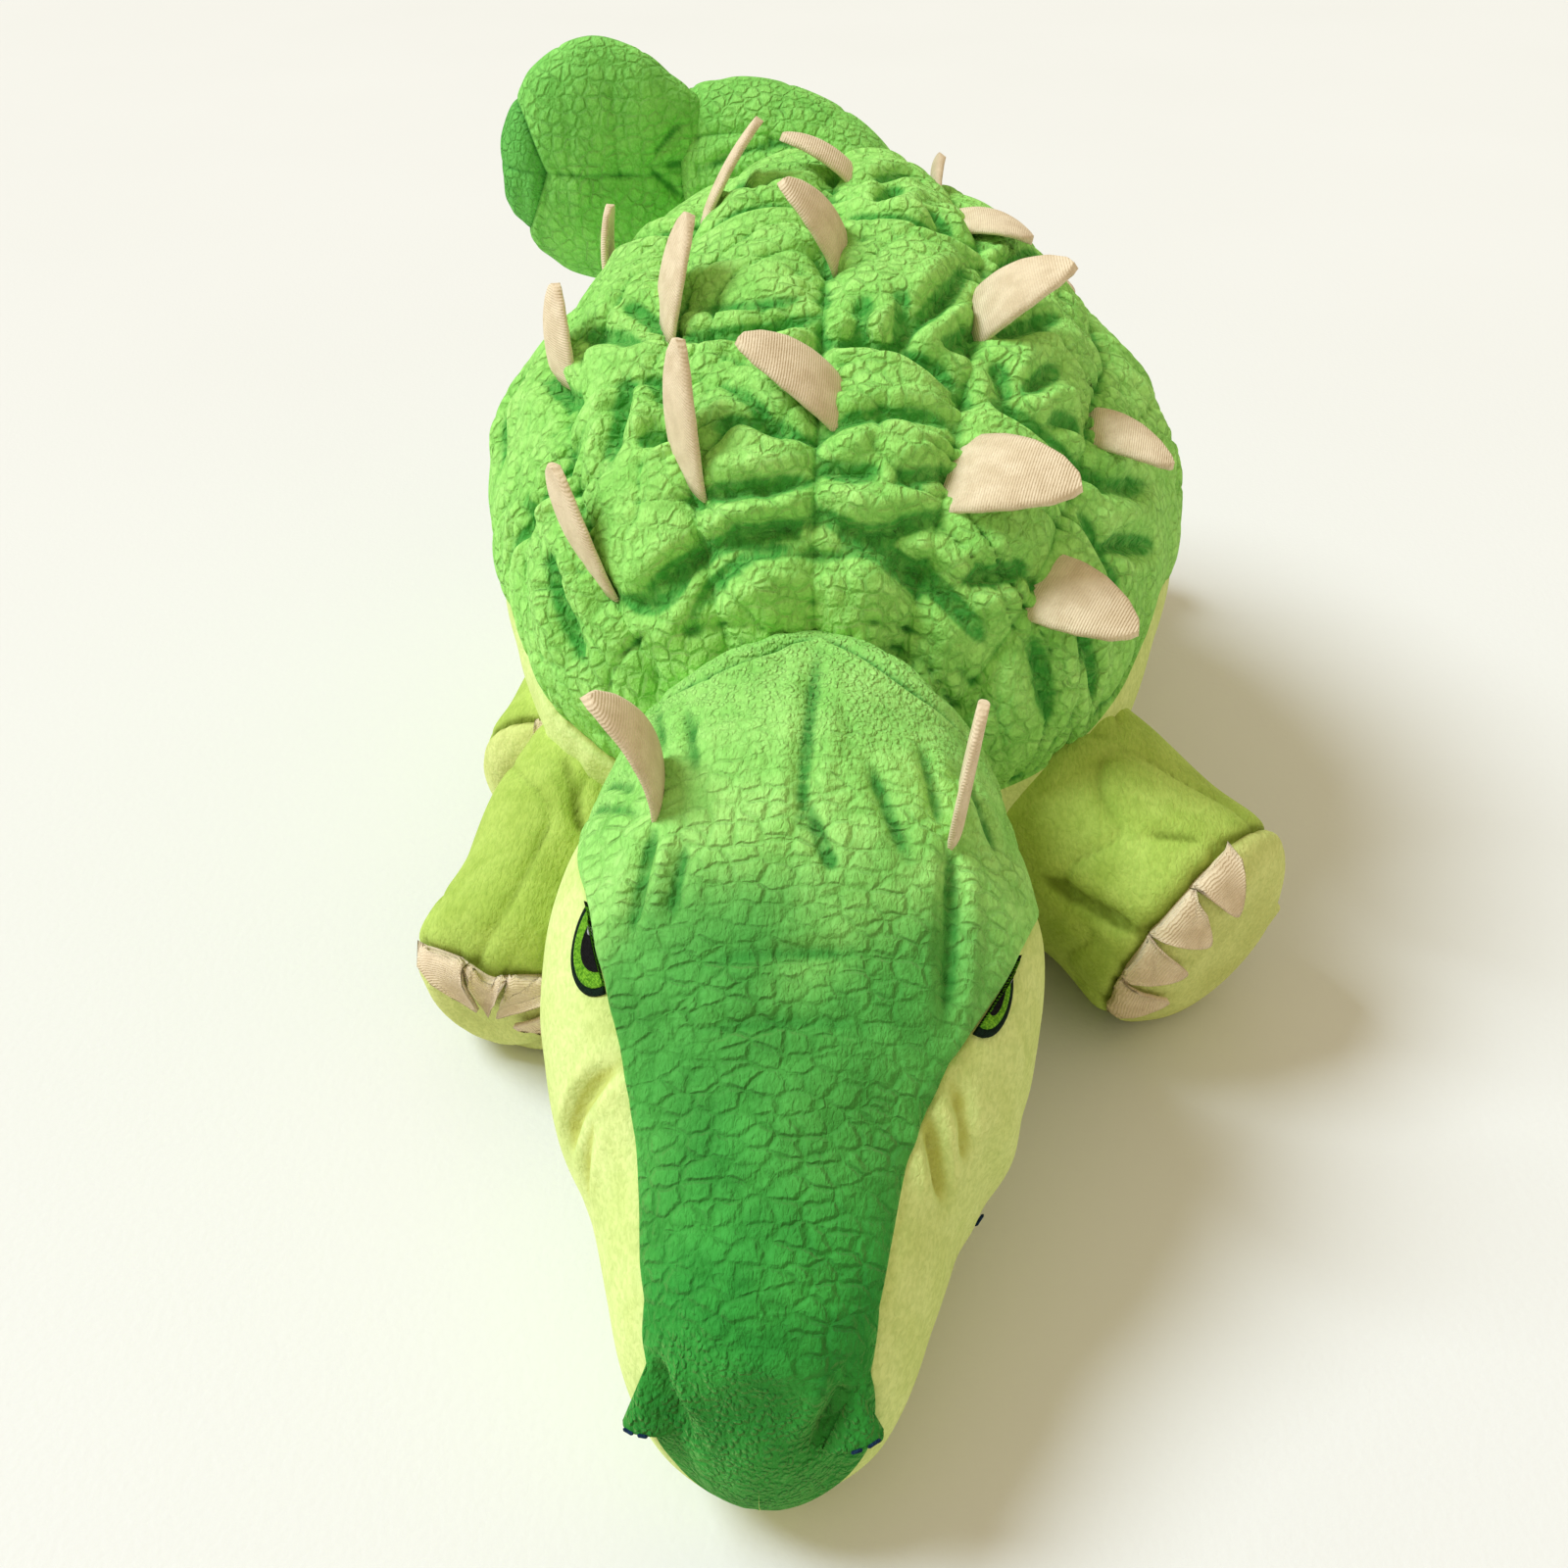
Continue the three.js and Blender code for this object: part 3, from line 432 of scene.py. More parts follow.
# Share in which the lift fades at closed ends, spacing of the bends in noise, reach and shade of hollows
END_SHARE, WARP_SPACING, HOLLOW_REACH, HOLLOW_SHADE = 0.02, 24, (5, 4), 0.35
# The cloth's steps, how near a seam it is pinned, and how far it may sink
CLOTH_FRAMES, PIN_GAP, CLOTH_SINK = 20, 3.2, 1
FILL = 0.85


class Form:
    """A closed stuffed form as one grid, whose surface is lifted and folded before it is cut into panels."""

    def __init__(self, place, shares, angles):
        shares = shares if shares.ndim == 2 else shares[:, None]
        self.shares, self.angles = np.broadcast_arrays(shares, angles)
        self.place = place
        self.grid = place(self.shares, self.angles)
        self.out = outward(self.grid)
        around = np.linalg.norm(np.roll(self.grid, -1, 1) - self.grid, axis=-1)
        self.around = np.concatenate([np.zeros((len(shares), 1)), np.cumsum(around, 1)], 1)
        self.turn = self.around[:, :-1]
        step = np.linalg.norm(np.diff(self.grid, axis=0), axis=-1).mean(1)
        self.along = np.concatenate([[0], np.cumsum(step)])[:, None]
        self.lift = np.zeros(self.angles.shape)
        # Painted shade of folds and hollows, and where negative, painted highlight of ridges
        self.crease_shade = np.zeros(self.angles.shape)
        self.ends = np.clip(np.minimum(self.shares, 1 - self.shares) / END_SHARE, 0, 1) ** 0.5

    def noise(self, long, wide, seed, shear=0.0, warp=0.0):
        """Smooth noise with bumps this many millimetres long and wide, its pattern bent about by warp."""
        bend = 0.0
        if warp:
            bend = warp * lattice_noise(self.along / WARP_SPACING, self.turn / WARP_SPACING, seed + 50)
        return lattice_noise((self.along + bend + shear * self.turn) / long, (self.turn + bend) / wide, seed)

    def patches(self, level, long, wide, seed):
        """Soft patches of the surface, larger with a higher level."""
        return np.clip(level + self.noise(long, wide, seed), 0, 1)

    def from_seams(self, columns):
        """How far each place is from the nearest of these columns, round the form."""
        total = self.around[:, -1:]
        gaps = [np.abs(self.turn - self.turn[:, column, None]) for column in columns]
        return np.min([np.minimum(gap, total - gap) for gap in gaps], 0)

    def puff(self, gap, height, reach, where=1.0):
        """Swell the fabric beyond this reach from its seams."""
        self.lift += where * height * (1 - near(gap, reach))

    def sink(self, gap, depth, reach, sharpness=1, where=1.0):
        """Draw the fabric in at its seams."""
        self.lift -= where * depth * near(gap, reach, sharpness)

    def bumps(self, height, long, wide, seed, where=1.0, **pattern):
        self.lift += where * height * self.noise(long, wide, seed, **pattern)

    def wrinkles(self, depth, long, wide, seed, width, where=1.0, **pattern):
        """Narrow valleys where smooth noise passes through zero."""
        self.lift -= where * depth * near(np.abs(self.noise(long, wide, seed, **pattern)), width)

    def fold(self, rows, width, samples=30):
        """Folds with ridges beside them. Each row: share and degrees at each end, bow and depth."""
        t = np.linspace(0, 1, samples)
        for share, degrees, last_share, last_degrees, bow, depth in rows:
            shares = share + (last_share - share) * t + 4 * bow * t * (1 - t)
            line = self.place(shares, degrees + (last_degrees - degrees) * t)
            low, high = line.min(0) - 3 * width, line.max(0) + 3 * width
            close = np.all((self.grid > low) & (self.grid < high), axis=-1)
            gap = np.linalg.norm(self.grid[close][:, None] - line[None], axis=-1)
            at = gap.argmin(1)
            gap = gap.min(1)
            deep = depth * np.minimum(1, np.minimum(at, samples - 1 - at) / 9 + 0.15)
            self.lift[close] -= deep * (near(gap, width, 1.2) - 0.35 * near(gap - 2 * width, width, 2))
            # Painted shade along the fold's line
            self.crease_shade[close] = np.maximum(self.crease_shade[close], deep / 5 * near(gap, 0.9 * width, 2))

    def inflate(self, gap, share=1.0, limit=6.0, rows=56, columns=90):
        """Swell the form with cloth under pressure, pinned along its seams, where gap is nearly nothing.

        The cloth is the form's own surface in squares of about 6 mm, which runs free of gravity.
        """
        total = self.angles.shape[1]
        picked = np.linspace(2, len(self.grid) - 3, rows).astype(int)
        across = np.linspace(0, total, columns, endpoint=False).astype(int)
        places, out = self.grid[picked][:, across], self.out[picked][:, across]
        pinned = gap[picked][:, across] < PIN_GAP
        pinned[[0, 1, -2, -1]] = True
        moved = run_cloth(places, pinned, out)
        rise = np.clip(np.sum((moved - places) * out, -1), -CLOTH_SINK, limit) * share
        rise = np.concatenate([rise, rise[:, :1]], 1)
        wide = np.stack([np.interp(np.arange(total), [*across, total], row) for row in rise])
        self.lift += np.stack([np.interp(np.arange(len(self.grid)), picked, column) for column in wide.T], 1)

    def settle(self):
        """Lift the surface, mark hollows for painted shade and ridges for painted highlight, and flatten its
        foot.
        """
        relief = self.lift - blurred(self.lift, HOLLOW_REACH)
        self.crease_shade = np.clip(self.crease_shade - HOLLOW_SHADE * relief, -1, 1)
        self.grid = self.grid + self.out * (self.lift * self.ends)[..., None]
        flat = FLOOR_GAP + FLOOR_SOFTNESS
        height = self.grid[..., 2] - flat
        pressed = FLOOR_SOFTNESS * (np.exp(np.minimum(height, 0) / FLOOR_SOFTNESS) - 1)
        self.grid[..., 2] = flat + np.where(height < 0, pressed, height)

    def sew(self, name, body, nodes, look, first, last, rows=slice(None), fill=FILL, **fields):
        """Cut a panel out between two columns, and put it on its body. Its look is a material and a slot, of
        which only the material is used.
        """
        columns = np.arange(first, last + 1) % self.angles.shape[1]
        # The painted shade and highlight go with every panel as an attribute
        fields["crease_shade"] = self.crease_shade
        values = {key: field[rows][:, columns] for key, field in fields.items()}
        dress(grid_object(name, self.grid[rows][:, columns], look[0], values), body, nodes)


def run_cloth(places, pinned, out):
    """Where a closed tube of cloth, a grid of places with pins, goes when pressure swells it."""
    faces = grid_faces(*pinned.shape, closed=True)
    first_normals = np.cross(places[1:, :1] - places[:-1, :1], places[:-1, 1:2] - places[:-1, :1])
    if np.sum(first_normals * out[:-1, :1]) >= 0:
        faces = faces[:, ::-1]
    mesh = bpy.data.meshes.new("cloth")
    mesh.from_pydata((places.reshape(-1, 3) / 1000).tolist(), [], faces.tolist())
    cloth = bpy.data.objects.new("cloth", mesh)
    bpy.context.collection.objects.link(cloth)
    cloth.vertex_groups.new(name="pins").add(np.flatnonzero(pinned).tolist(), 1.0, "REPLACE")
    settings = cloth.modifiers.new("cloth", "CLOTH").settings
    settings.vertex_group_mass, settings.quality, settings.mass = "pins", 6, 0.2
    settings.tension_stiffness = settings.compression_stiffness = 12
    settings.use_pressure, settings.uniform_pressure_force = True, 4
    settings.effector_weights.gravity = 0
    for frame_number in range(1, CLOTH_FRAMES + 1):
        bpy.context.scene.frame_set(frame_number)
    swollen = cloth.evaluated_get(bpy.context.evaluated_depsgraph_get()).data
    moved = np.zeros(places.size, np.float32)
    swollen.vertices.foreach_get("co", moved)
    bpy.data.objects.remove(cloth)
    bpy.context.scene.frame_set(1)
    return moved.reshape(places.shape) * 1000


# Materials

class Shader:
    """A material's nodes, written as calls."""

    def __init__(self, name):
        self.material = bpy.data.materials.new(name)
        self.material.use_nodes = True
        self.tree = self.material.node_tree
        self.tree.nodes.clear()
        self.where = self.node("TexCoord").outputs["Object"]

    def node(self, kind, sockets=None, **settings):
        node = self.tree.nodes.new("ShaderNode" + kind)
        for key, value in settings.items():
            setattr(node, key, value)
        for key, value in (sockets or {}).items():
            if hasattr(value, "is_output"):
                self.tree.links.new(value, node.inputs[key])
            else:
                node.inputs[key].default_value = value
        return node

    def math(self, operation, a, b=0.0, clamp=False):
        return self.node("Math", {0: a, 1: b}, operation=operation, use_clamp=clamp).outputs[0]

    def times(self, a, b):
        return self.math("MULTIPLY", a, b)

    def plus(self, a, b):
        return self.math("ADD", a, b)

    def vector(self, operation, a, b):
        return self.node("VectorMath", {0: a, 1: b}, operation=operation).outputs[0]

    def scaled(self, coordinates, scale):
        return self.node("Mapping", {"Vector": coordinates, "Scale": scale}).outputs[0]

    def attribute(self, name):
        return self.node("Attribute", attribute_name=name).outputs["Fac"]

    def noise(self, coordinates, scale, detail=2.0, distortion=0.0, output=0):
        return self.node(
            "TexNoise", {"Vector": coordinates, "Scale": scale, "Detail": detail, "Distortion": distortion}
        ).outputs[output]

    def cells(self, coordinates, scale, feature, randomness=1.0):
        sockets = {"Vector": coordinates, "Scale": scale, "Randomness": randomness}
        return self.node("TexVoronoi", sockets, feature=feature).outputs["Distance"]

    def ribs(self, scale, direction, distortion=0.0):
        """Bands across the UV map, which is in metres."""
        uv = self.node("UVMap", uv_map="UVMap").outputs[0]
        sockets = {"Vector": uv, "Scale": scale, "Distortion": distortion, "Detail": 1.0}
        return self.node("TexWave", sockets, bands_direction=direction).outputs["Fac"]

    def ramp(self, value, low, high, start=0.0, end=1.0):
        return self.node(
            "MapRange", {"Value": value, "From Min": low, "From Max": high, "To Min": start, "To Max": end},
            interpolation_type="SMOOTHSTEP",
        ).outputs[0]

    def mix(self, factor, a, b, blend="MIX"):
        a, b = ((*colour, 1) if isinstance(colour, tuple) else colour for colour in (a, b))
        return self.node("Mix", {0: factor, 6: a, 7: b}, data_type="RGBA", blend_type=blend).outputs[2]

    def blotched(self, value, dark, light):
        """Two colours, given as written on a screen, mixed softly by a noise."""
        return self.mix(self.ramp(value, 0.3, 0.7), linear(dark), linear(light))

    def shade(self, colour, factor, by):
        return self.mix(factor, colour, by, "MULTIPLY")

    def finish(self, colour, height, depth, roughness, sheen=0.0, sheen_tint=(1, 1, 1), specular=0.25):
        """Close the material: height is its relief, which is this many metres deep."""
        normal = self.node("Bump", {"Height": height, "Distance": depth, "Strength": 1.0}).outputs[0]
        sockets = {
            "Base Color": colour, "Roughness": roughness, "Normal": normal, "Sheen Weight": sheen,
            "Sheen Roughness": 0.45, "Sheen Tint": (*sheen_tint, 1), "Specular IOR Level": specular,
        }
        surface = self.node("BsdfPrincipled", sockets)
        self.tree.links.new(surface.outputs[0], self.node("OutputMaterial").inputs[0])
        return self.material


def linear(colour):
    return tuple(((c / 255 + 0.055) / 1.055) ** 2.4 if c > 10 else c / 3295 for c in colour)


def plush(name, light, dark, shade, cell=None, pile=1.0, tint=None, cell_shape=(1, 1, 1)):
    """Short-pile plush: streaks of pile, soft blotches, painted shade in hollows and painted highlight on
    ridges, and embossed scales of cell millimetres, if given.
    """
    s = Shader(name)
    streaks = s.noise(s.scaled(s.where, (1.0, 0.38, 0.8)), 900, 3.0, 0.6)
    naps = s.noise(s.where, 230, 3.0, 0.5)
    blotches = s.noise(s.where, 60, 3.0, 0.4)
    patches = s.noise(s.where, 14)
    colour = s.blotched(blotches, dark, light)
    if tint is not None:
        colour = s.mix(s.attribute("tint"), colour, s.blotched(blotches, tint[1], tint[0]))
    colour = s.shade(colour, s.ramp(streaks, 0.35, 0.65, 0.0, 0.42), (0.62, 0.7, 0.54))
    colour = s.shade(colour, s.ramp(naps, 0.52, 0.72, 0.0, 0.25), (0.72, 0.82, 0.62))
    colour = s.shade(colour, s.ramp(patches, 0.35, 0.7, 0.0, 0.15), (0.85, 0.95, 0.75))
    crease_shade = s.attribute("crease_shade")
    # Painted shade: hollows and folds are drawn towards the shade colour
    valley_shade = s.times(s.ramp(crease_shade, 0.05, 0.85), s.ramp(naps, 0.25, 0.6, 0.65, 1.0))
    colour = s.mix(s.times(valley_shade, 0.9), colour, linear(shade))
    # Painted highlight: ridges, where this attribute is negative, are made lighter
    colour = s.shade(colour, s.ramp(crease_shade, -0.1, -0.8, 0.0, 0.5), (1.25, 1.15, 1.3))
    height = s.plus(s.times(streaks, 0.8 * pile), s.times(naps, 0.6 * pile))
    if cell:
        colour, height = scales(s, colour, height, cell, cell_shape)
    return s.finish(colour, height, 0.001, 0.92, 0.4, linear(light))


def scales(s, colour, height, cell, cell_shape):
    """Embossed scales with painted shade in their grooves, which tufts of longer pile, with painted shade
    between the tufts, replace where the curl attribute says so.
    """
    shift = s.vector("MULTIPLY", s.noise(s.where, 210.0, output=1), (0.0028, 0.0028, 0.0028))
    moved = s.vector("ADD", s.where, shift)
    edge = s.cells(s.scaled(moved, cell_shape), 1000 / cell, "DISTANCE_TO_EDGE", 0.72)
    curl = s.attribute("curl")
    # Strength of the grooves, varied by noise and less where the pile curls: it sets their painted shade and
    # their emboss
    groove_strength = s.math("SUBTRACT", s.ramp(s.noise(s.where, 45), 0.35, 0.6, 0.6, 1.0), curl, True)
    line = s.times(s.ramp(edge, 0.01, 0.13, 1.0, 0.0), groove_strength)
    # Painted shade in the grooves between the scales
    colour = s.shade(colour, s.times(line, 0.42), (0.4, 0.58, 0.36))
    height = s.plus(height, s.times(s.times(s.ramp(edge, 0.0, 0.22), groove_strength), 0.9))
    middle = s.cells(s.scaled(moved, (1, 0.75, 1)), 620.0, "F1")
    tuft = s.times(s.ramp(middle, 0.2, 0.62, 1.0, 0.0), curl)
    # Painted shade in the gaps between the tufts
    colour = s.shade(colour, s.times(s.math("SUBTRACT", curl, tuft), 0.5), (0.45, 0.6, 0.4))
    return colour, s.plus(height, s.times(tuft, 1.1))


def felt_material(name, colour, dark):
    """Ribbed felt: the ribs run across the piece."""
    s = Shader(name)
    ribs = s.ribs(360.0, "Y")
    fuzz = s.noise(s.where, 1400, 3.0)
    tone = s.blotched(s.noise(s.where, 160, 3.0), dark, colour)
    tone = s.shade(tone, s.times(ribs, 0.1), (0.66, 0.6, 0.52))
    tone = s.shade(tone, s.ramp(fuzz, 0.3, 0.7, 0.0, 0.3), (0.75, 0.72, 0.66))
    height = s.plus(s.times(ribs, -0.28), s.times(fuzz, 0.5))
    return s.finish(tone, height, 0.0006, 0.95, 0.3, linear(colour))


def thread_material(name, colour, dark):
    s = Shader(name)
    strands = s.ribs(900.0, "X", 1.2)
    tone = s.blotched(s.noise(s.where, 1500), dark, colour)
    tone = s.shade(tone, s.times(strands, 0.35), (0.5, 0.5, 0.5))
    return s.finish(tone, s.times(strands, 0.6), 0.0004, 0.8, 0.0, linear(colour), 0.15)


# Each plush: its material and its slot. Its colours are a light and a dark tone, mixed at random, and the
# colour of painted shade in its hollows
ARMOUR = plush("armour_plush", (180, 242, 130), (156, 226, 110), (54, 156, 56), cell=5.3), "armour_plush"
CROWN = plush(
    "crown_plush", (180, 240, 134), (156, 225, 114), (52, 140, 52), cell=5.6,
    tint=((60, 166, 66), (42, 142, 52)), cell_shape=(0.75, 1.15, 1.0),
), "crown_plush"
TAIL_PLUSH = plush("tail_plush", (158, 228, 116), (136, 212, 98), (54, 140, 48), cell=5.3), "armour_plush"
CLUB_PLUSH = plush("club_plush", (150, 226, 112), (130, 208, 96), (50, 132, 44), cell=5.4), "armour_plush"
TIP = plush("tip_plush", (116, 200, 94), (94, 180, 76), (40, 116, 38), cell=3.8), "tip_plush"
CREAM = plush("cream_plush", (226, 238, 158), (212, 226, 140), (190, 196, 98), pile=0.5), "cream_plush"
LIME = plush("lime_plush", (188, 210, 104), (168, 192, 84), (108, 126, 36), pile=0.7), "lime_plush"
SOLE = plush("sole_plush", (222, 228, 146), (206, 212, 128), (156, 158, 80), pile=0.7), "sole_plush"
FILLING = CREAM[0], "filling"
RIM_THREAD = thread_material("rim_thread", (14, 46, 28), (4, 26, 14))
IRIS_THREAD = thread_material("iris_thread", (150, 222, 56), (84, 156, 24))
PUPIL_THREAD = thread_material("pupil_thread", (22, 22, 24), (3, 3, 4))
GLINT_THREAD = thread_material("glint_thread", (246, 246, 250), (226, 228, 236))
NAVY_THREAD = thread_material("navy_thread", (34, 66, 104), (16, 40, 72))
FELT = felt_material("felt", (244, 224, 194), (228, 206, 174))


# The stuffed pieces

def spans(edges, counts):
    """Column angles with a column on every edge, and the columns that the edges have."""
    parts = [a + (b - a) * np.arange(n) / n for a, b, n in zip(edges, edges[1:], counts)]
    return np.concatenate(parts, -1), np.concatenate([[0], np.cumsum(counts)])


def with_seam(shares, cut, seam):
    """Shares of a grid whose row at cut follows this wavy seam."""
    before = shares[:cut + 1, None] / shares[cut] * seam
    after = 1 - (1 - shares[cut + 1:, None]) / (1 - shares[cut]) * (1 - seam)
    return np.vstack([before, after])


# Panels of the back from left to right, and the columns of each and of the belly
BACK_PANELS = ["left_outer", "left_middle", "left_inner", "right_inner", "right_middle", "right_outer"]
TORSO_COLUMNS = [56, 34, 38, 38, 34, 56, 120]


def make_torso():
    angles, cuts = spans([*LANES, 360], TORSO_COLUMNS)
    form = Form(TORSO.at, mixed_steps(380, 0.55), angles)
    gap = form.from_seams(cuts[:7])
    back = form.angles < 180
    form.inflate(gap)
    pucker = 0.75 + 0.5 * form.noise(16, 40, seed=2)
    form.puff(gap, np.where(back, 4.2, 1.2), reach=13)
    form.sink(gap, np.where(back, 2.6 * pucker, 1.0), reach=4, sharpness=1.2)
    for lane, share, last_lane, last_share, bow, depth in BACK_FOLDS:
        row = (share, lane_angle(lane), last_share, lane_angle(last_lane), bow, BACK_DEPTH * depth)
        form.fold([row], width=3.9)
    gathers, slanted = back * near(gap, 14), back * form.patches(0.35, 34, 38, seed=5)
    crossed, crumpled = back * form.patches(0.3, 36, 34, seed=7), back * form.patches(0.3, 30, 30, seed=18)
    form.wrinkles(3.4, 8, 40, seed=3, width=0.16, where=gathers, warp=7)
    form.wrinkles(3.0, 16, 34, seed=4, width=0.13, where=slanted, shear=0.6, warp=10)
    form.wrinkles(3.0, 15, 36, seed=6, width=0.13, where=crossed, shear=-0.8, warp=10)
    form.wrinkles(1.5, 9, 11, seed=17, width=0.2, where=crumpled, warp=5)
    form.bumps(1.6, 24, 24, seed=8, where=back, warp=8)
    form.bumps(0.9, 30, 34, seed=9, where=~back)
    form.settle()
    for name, first, last in zip(BACK_PANELS, cuts, cuts[1:]):
        form.sew("back_" + name, "torso", ["back_panel_" + name], ARMOUR, first, last)
    form.sew("belly", "torso", ["belly_panel", "torso_stuffing"], CREAM, cuts[6], cuts[7])


def make_head():
    shares = mixed_steps(250, 0.5)[:, None]
    right, left, mouth = head_seams(shares)
    edges = [right, 180 - left, 180 + mouth, 360 - mouth, 360 + right]
    angles, cuts = spans(edges, [140, 48, 90, 48])
    form = Form(HEAD.at, shares, angles)
    gap, mouth_gap = form.from_seams(cuts[:2]), form.from_seams(cuts[2:4])
    form.inflate(np.minimum(gap, mouth_gap), 0.6)
    crown = np.zeros((1, cuts[-1]))
    crown[:, 1:cuts[1]] = 1
    brow = near(form.shares - 0.53, 0.09, 2)
    sewn = 1 - soft_step(form.shares, 0.95, 0.975)
    lips = sewn * np.clip((form.shares - 0.6) / 0.1, 0, 1)
    form.puff(gap, 0.9 + 2.2 * brow * near(gap, 9), reach=1.2, where=sewn * crown)
    form.sink(gap, 0.9, reach=3, where=sewn * (1 - crown))
    form.sink(mouth_gap, 1.3, reach=2.2, where=lips)
    form.fold(HEAD_FOLDS, width=2.7)
    shoulders = np.sin(np.radians(2 * form.angles)) ** 2 * (form.angles < 180)
    behind = np.clip((0.5 - form.shares) / 0.2, 0, 1)
    form.sink(form.shares, 5, reach=0.13, sharpness=2, where=shoulders)
    form.wrinkles(1.8, 60, 8, seed=19, width=0.2, where=crown * near(form.shares, 0.1))
    form.wrinkles(1.1, 34, 14, seed=16, width=0.12, where=crown * behind)
    form.bumps(0.4, 9, 12, seed=11, where=crown)
    form.bumps(0.6, 24, 22, seed=12, where=crown)
    form.bumps(0.7, 22, 26, seed=13, where=1 - crown)
    form.settle()
    forward = -form.grid[..., 1] + 15 * form.noise(20, 24, seed=14)
    fields = {
        "tint": 0.85 * soft_step(forward, 76, 132) + 0.15 * soft_step(forward, 130, 200),
        "curl": 0.55 * (1 - soft_step(forward, 40, 90)) + 0.75 * soft_step(forward, 196, 214),
    }
    form.sew("crown", "head", ["crown_panel"], CROWN, cuts[0], cuts[1], **fields)
    form.sew("cheek_left", "head", ["cheek_panel_left"], CREAM, cuts[1], cuts[2], **fields)
    form.sew("jaw", "head", ["jaw_panel", "head_stuffing"], CREAM, cuts[2], cuts[3], **fields)
    form.sew("cheek_right", "head", ["cheek_panel_right"], CREAM, cuts[3], cuts[4], **fields)


def make_neck():
    form = Form(neck_at, steps_round(14), np.linspace(0, 360, 24, endpoint=False))
    form.bumps(0.5, 3, 3, seed=15)
    form.settle()
    form.sew("neck_filling", "neck", ["neck_stuffing"], FILLING, 0, 24, fill=0.8)


# How much further out the sole's seam runs and on which side of the foot, where the middle of the claws is,
# how far apart they are, their length, and folds as on the head
FEET = {
    "front_left": (0.115, 85, 68, 42, 31, [(0.1, 60, 0.45, 20, 0, 2.5), (0.3, 100, 0.6, 60, 0, 1.6)]),
    "front_right": (
        0.055, 145, 149, 30, 20,
        [(0.59, 163, 0.925, 149, 0, 3.6), (0.74, 116, 0.87, 97, 0, 1.6), (0.08, 120, 0.35, 60, 0, 2)],
    ),
    "hind_left": (0.03, 90, 30, 34, 19, [(0.2, 70, 0.6, 120, 0, 3)]),
    "hind_right": (0.0, 90, 90, 33, 20, [(0.15, 60, 0.4, 120, 0, 3)]),
}
LEG_ROWS, LEG_COLUMNS = 110, 132


def make_leg(name):
    leg, body = Leg(name), name + "_leg"
    further, side, middle, fan, reach, folds = FEET[name]
    seed = 20 + list(LEGS).index(name)
    angles = np.linspace(0, 360, LEG_COLUMNS, endpoint=False)
    shares = mixed_steps(LEG_ROWS, 0.8)
    cut = int(np.argmin(np.abs(shares - SOLE_SEAM)))
    seam = SOLE_SEAM + further * np.cos(np.radians(angles - side))
    form = Form(leg.at, with_seam(shares, cut, seam), angles)
    gap = np.abs(form.along - form.along[cut])
    sleeve = (np.arange(LEG_ROWS) < cut)[:, None]
    form.inflate(np.broadcast_to(gap, form.lift.shape), 0.5, 3, 36, 40)
    form.puff(gap, 1.4, reach=2.2)
    form.sink(gap, 1.4, reach=2.2)
    form.bumps(1.3, 22, 26, seed)
    form.wrinkles(1.8, 30, 30, seed + 4, width=0.09, where=sleeve, shear=0.6)
    form.wrinkles(1.4, 40, 7, seed + 9, width=0.2, where=near(gap, 6))
    form.fold(folds, width=2.8)
    # Painted shade along the sole's seam
    form.crease_shade += 0.6 * near(gap, 2)
    form.settle()
    nodes = ["leg_sleeve_" + name, "leg_stuffing_" + name]
    form.sew("sleeve_" + name, body, nodes, LIME, 0, LEG_COLUMNS, slice(0, cut + 1))
    form.sew("sole_" + name, body, ["leg_sole_" + name], SOLE, 0, LEG_COLUMNS, slice(cut, None))
    make_claws(name, body, form, cut, middle, fan, reach)


# Of the claws: number, thickness, height above the sole, depth of the tucked roots, width, lowest place
CLAWS, CLAW_THICK, CLAW_GAP, CLAW_TUCK, CLAW_WIDTH, CLAW_LOWEST = 4, 1.7, 0.5, 1.8, 18, 0.25


def make_claws(name, body, form, cut, middle, fan, longest):
    """Pointed felt claws, sewn into the sole's seam and lying on the sole, their tips lifted a little."""
    rows, normals = form.grid[cut:], outward(form.grid)[cut:]
    run = np.concatenate([[0], np.cumsum(np.linalg.norm(np.diff(rows, axis=0), axis=-1).mean(1))])
    columns = form.angles.shape[1]
    across, up = np.linspace(-1, 1, 17), np.linspace(-0.12, 1, 14)
    distance = np.maximum(0.2, up[:, None] * longest * (1 - across ** 2) ** 0.85)
    at = np.searchsorted(run, distance) - 1
    mix = ((distance - run[at]) / (run[at + 1] - run[at]))[..., None]
    lift = CLAW_GAP + longest / 16 * np.maximum(up, 0) ** 2 - np.where(up <= 0, CLAW_TUCK, 0)
    faces = sheet_faces(len(up), len(across))
    uv = np.stack([np.broadcast_to(across * CLAW_WIDTH / 2, distance.shape), distance], -1).reshape(-1, 2)
    points = []
    for claw in range(CLAWS):
        turn = (middle + fan * ((CLAWS - 1) / 2 - claw + 0.49 * across)) / 360 * columns
        low, part = np.floor(turn).astype(int) % columns, (turn - np.floor(turn))[:, None]
        high = (low + 1) % columns
        behind, ahead = (rows[row, low] * (1 - part) + rows[row, high] * part for row in (at, at + 1))
        place, out = behind * (1 - mix) + ahead * mix, normals[at, low]
        for thick in (CLAW_THICK, 0):
            points.append((place + out * (lift[:, None, None] + thick)).reshape(-1, 3))
    points = np.concatenate(points)
    points[:, 2] = np.maximum(points[:, 2], CLAW_LOWEST)
    each = len(points) // CLAWS
    faces = np.concatenate([faces + claw * each for claw in range(CLAWS)]).tolist()
    uv = np.tile(uv, (2 * CLAWS, 1)) / 1000
    dress(mesh_object("felt_claws_" + name, points, faces, FELT, uv=uv), body, ["claws_" + name])


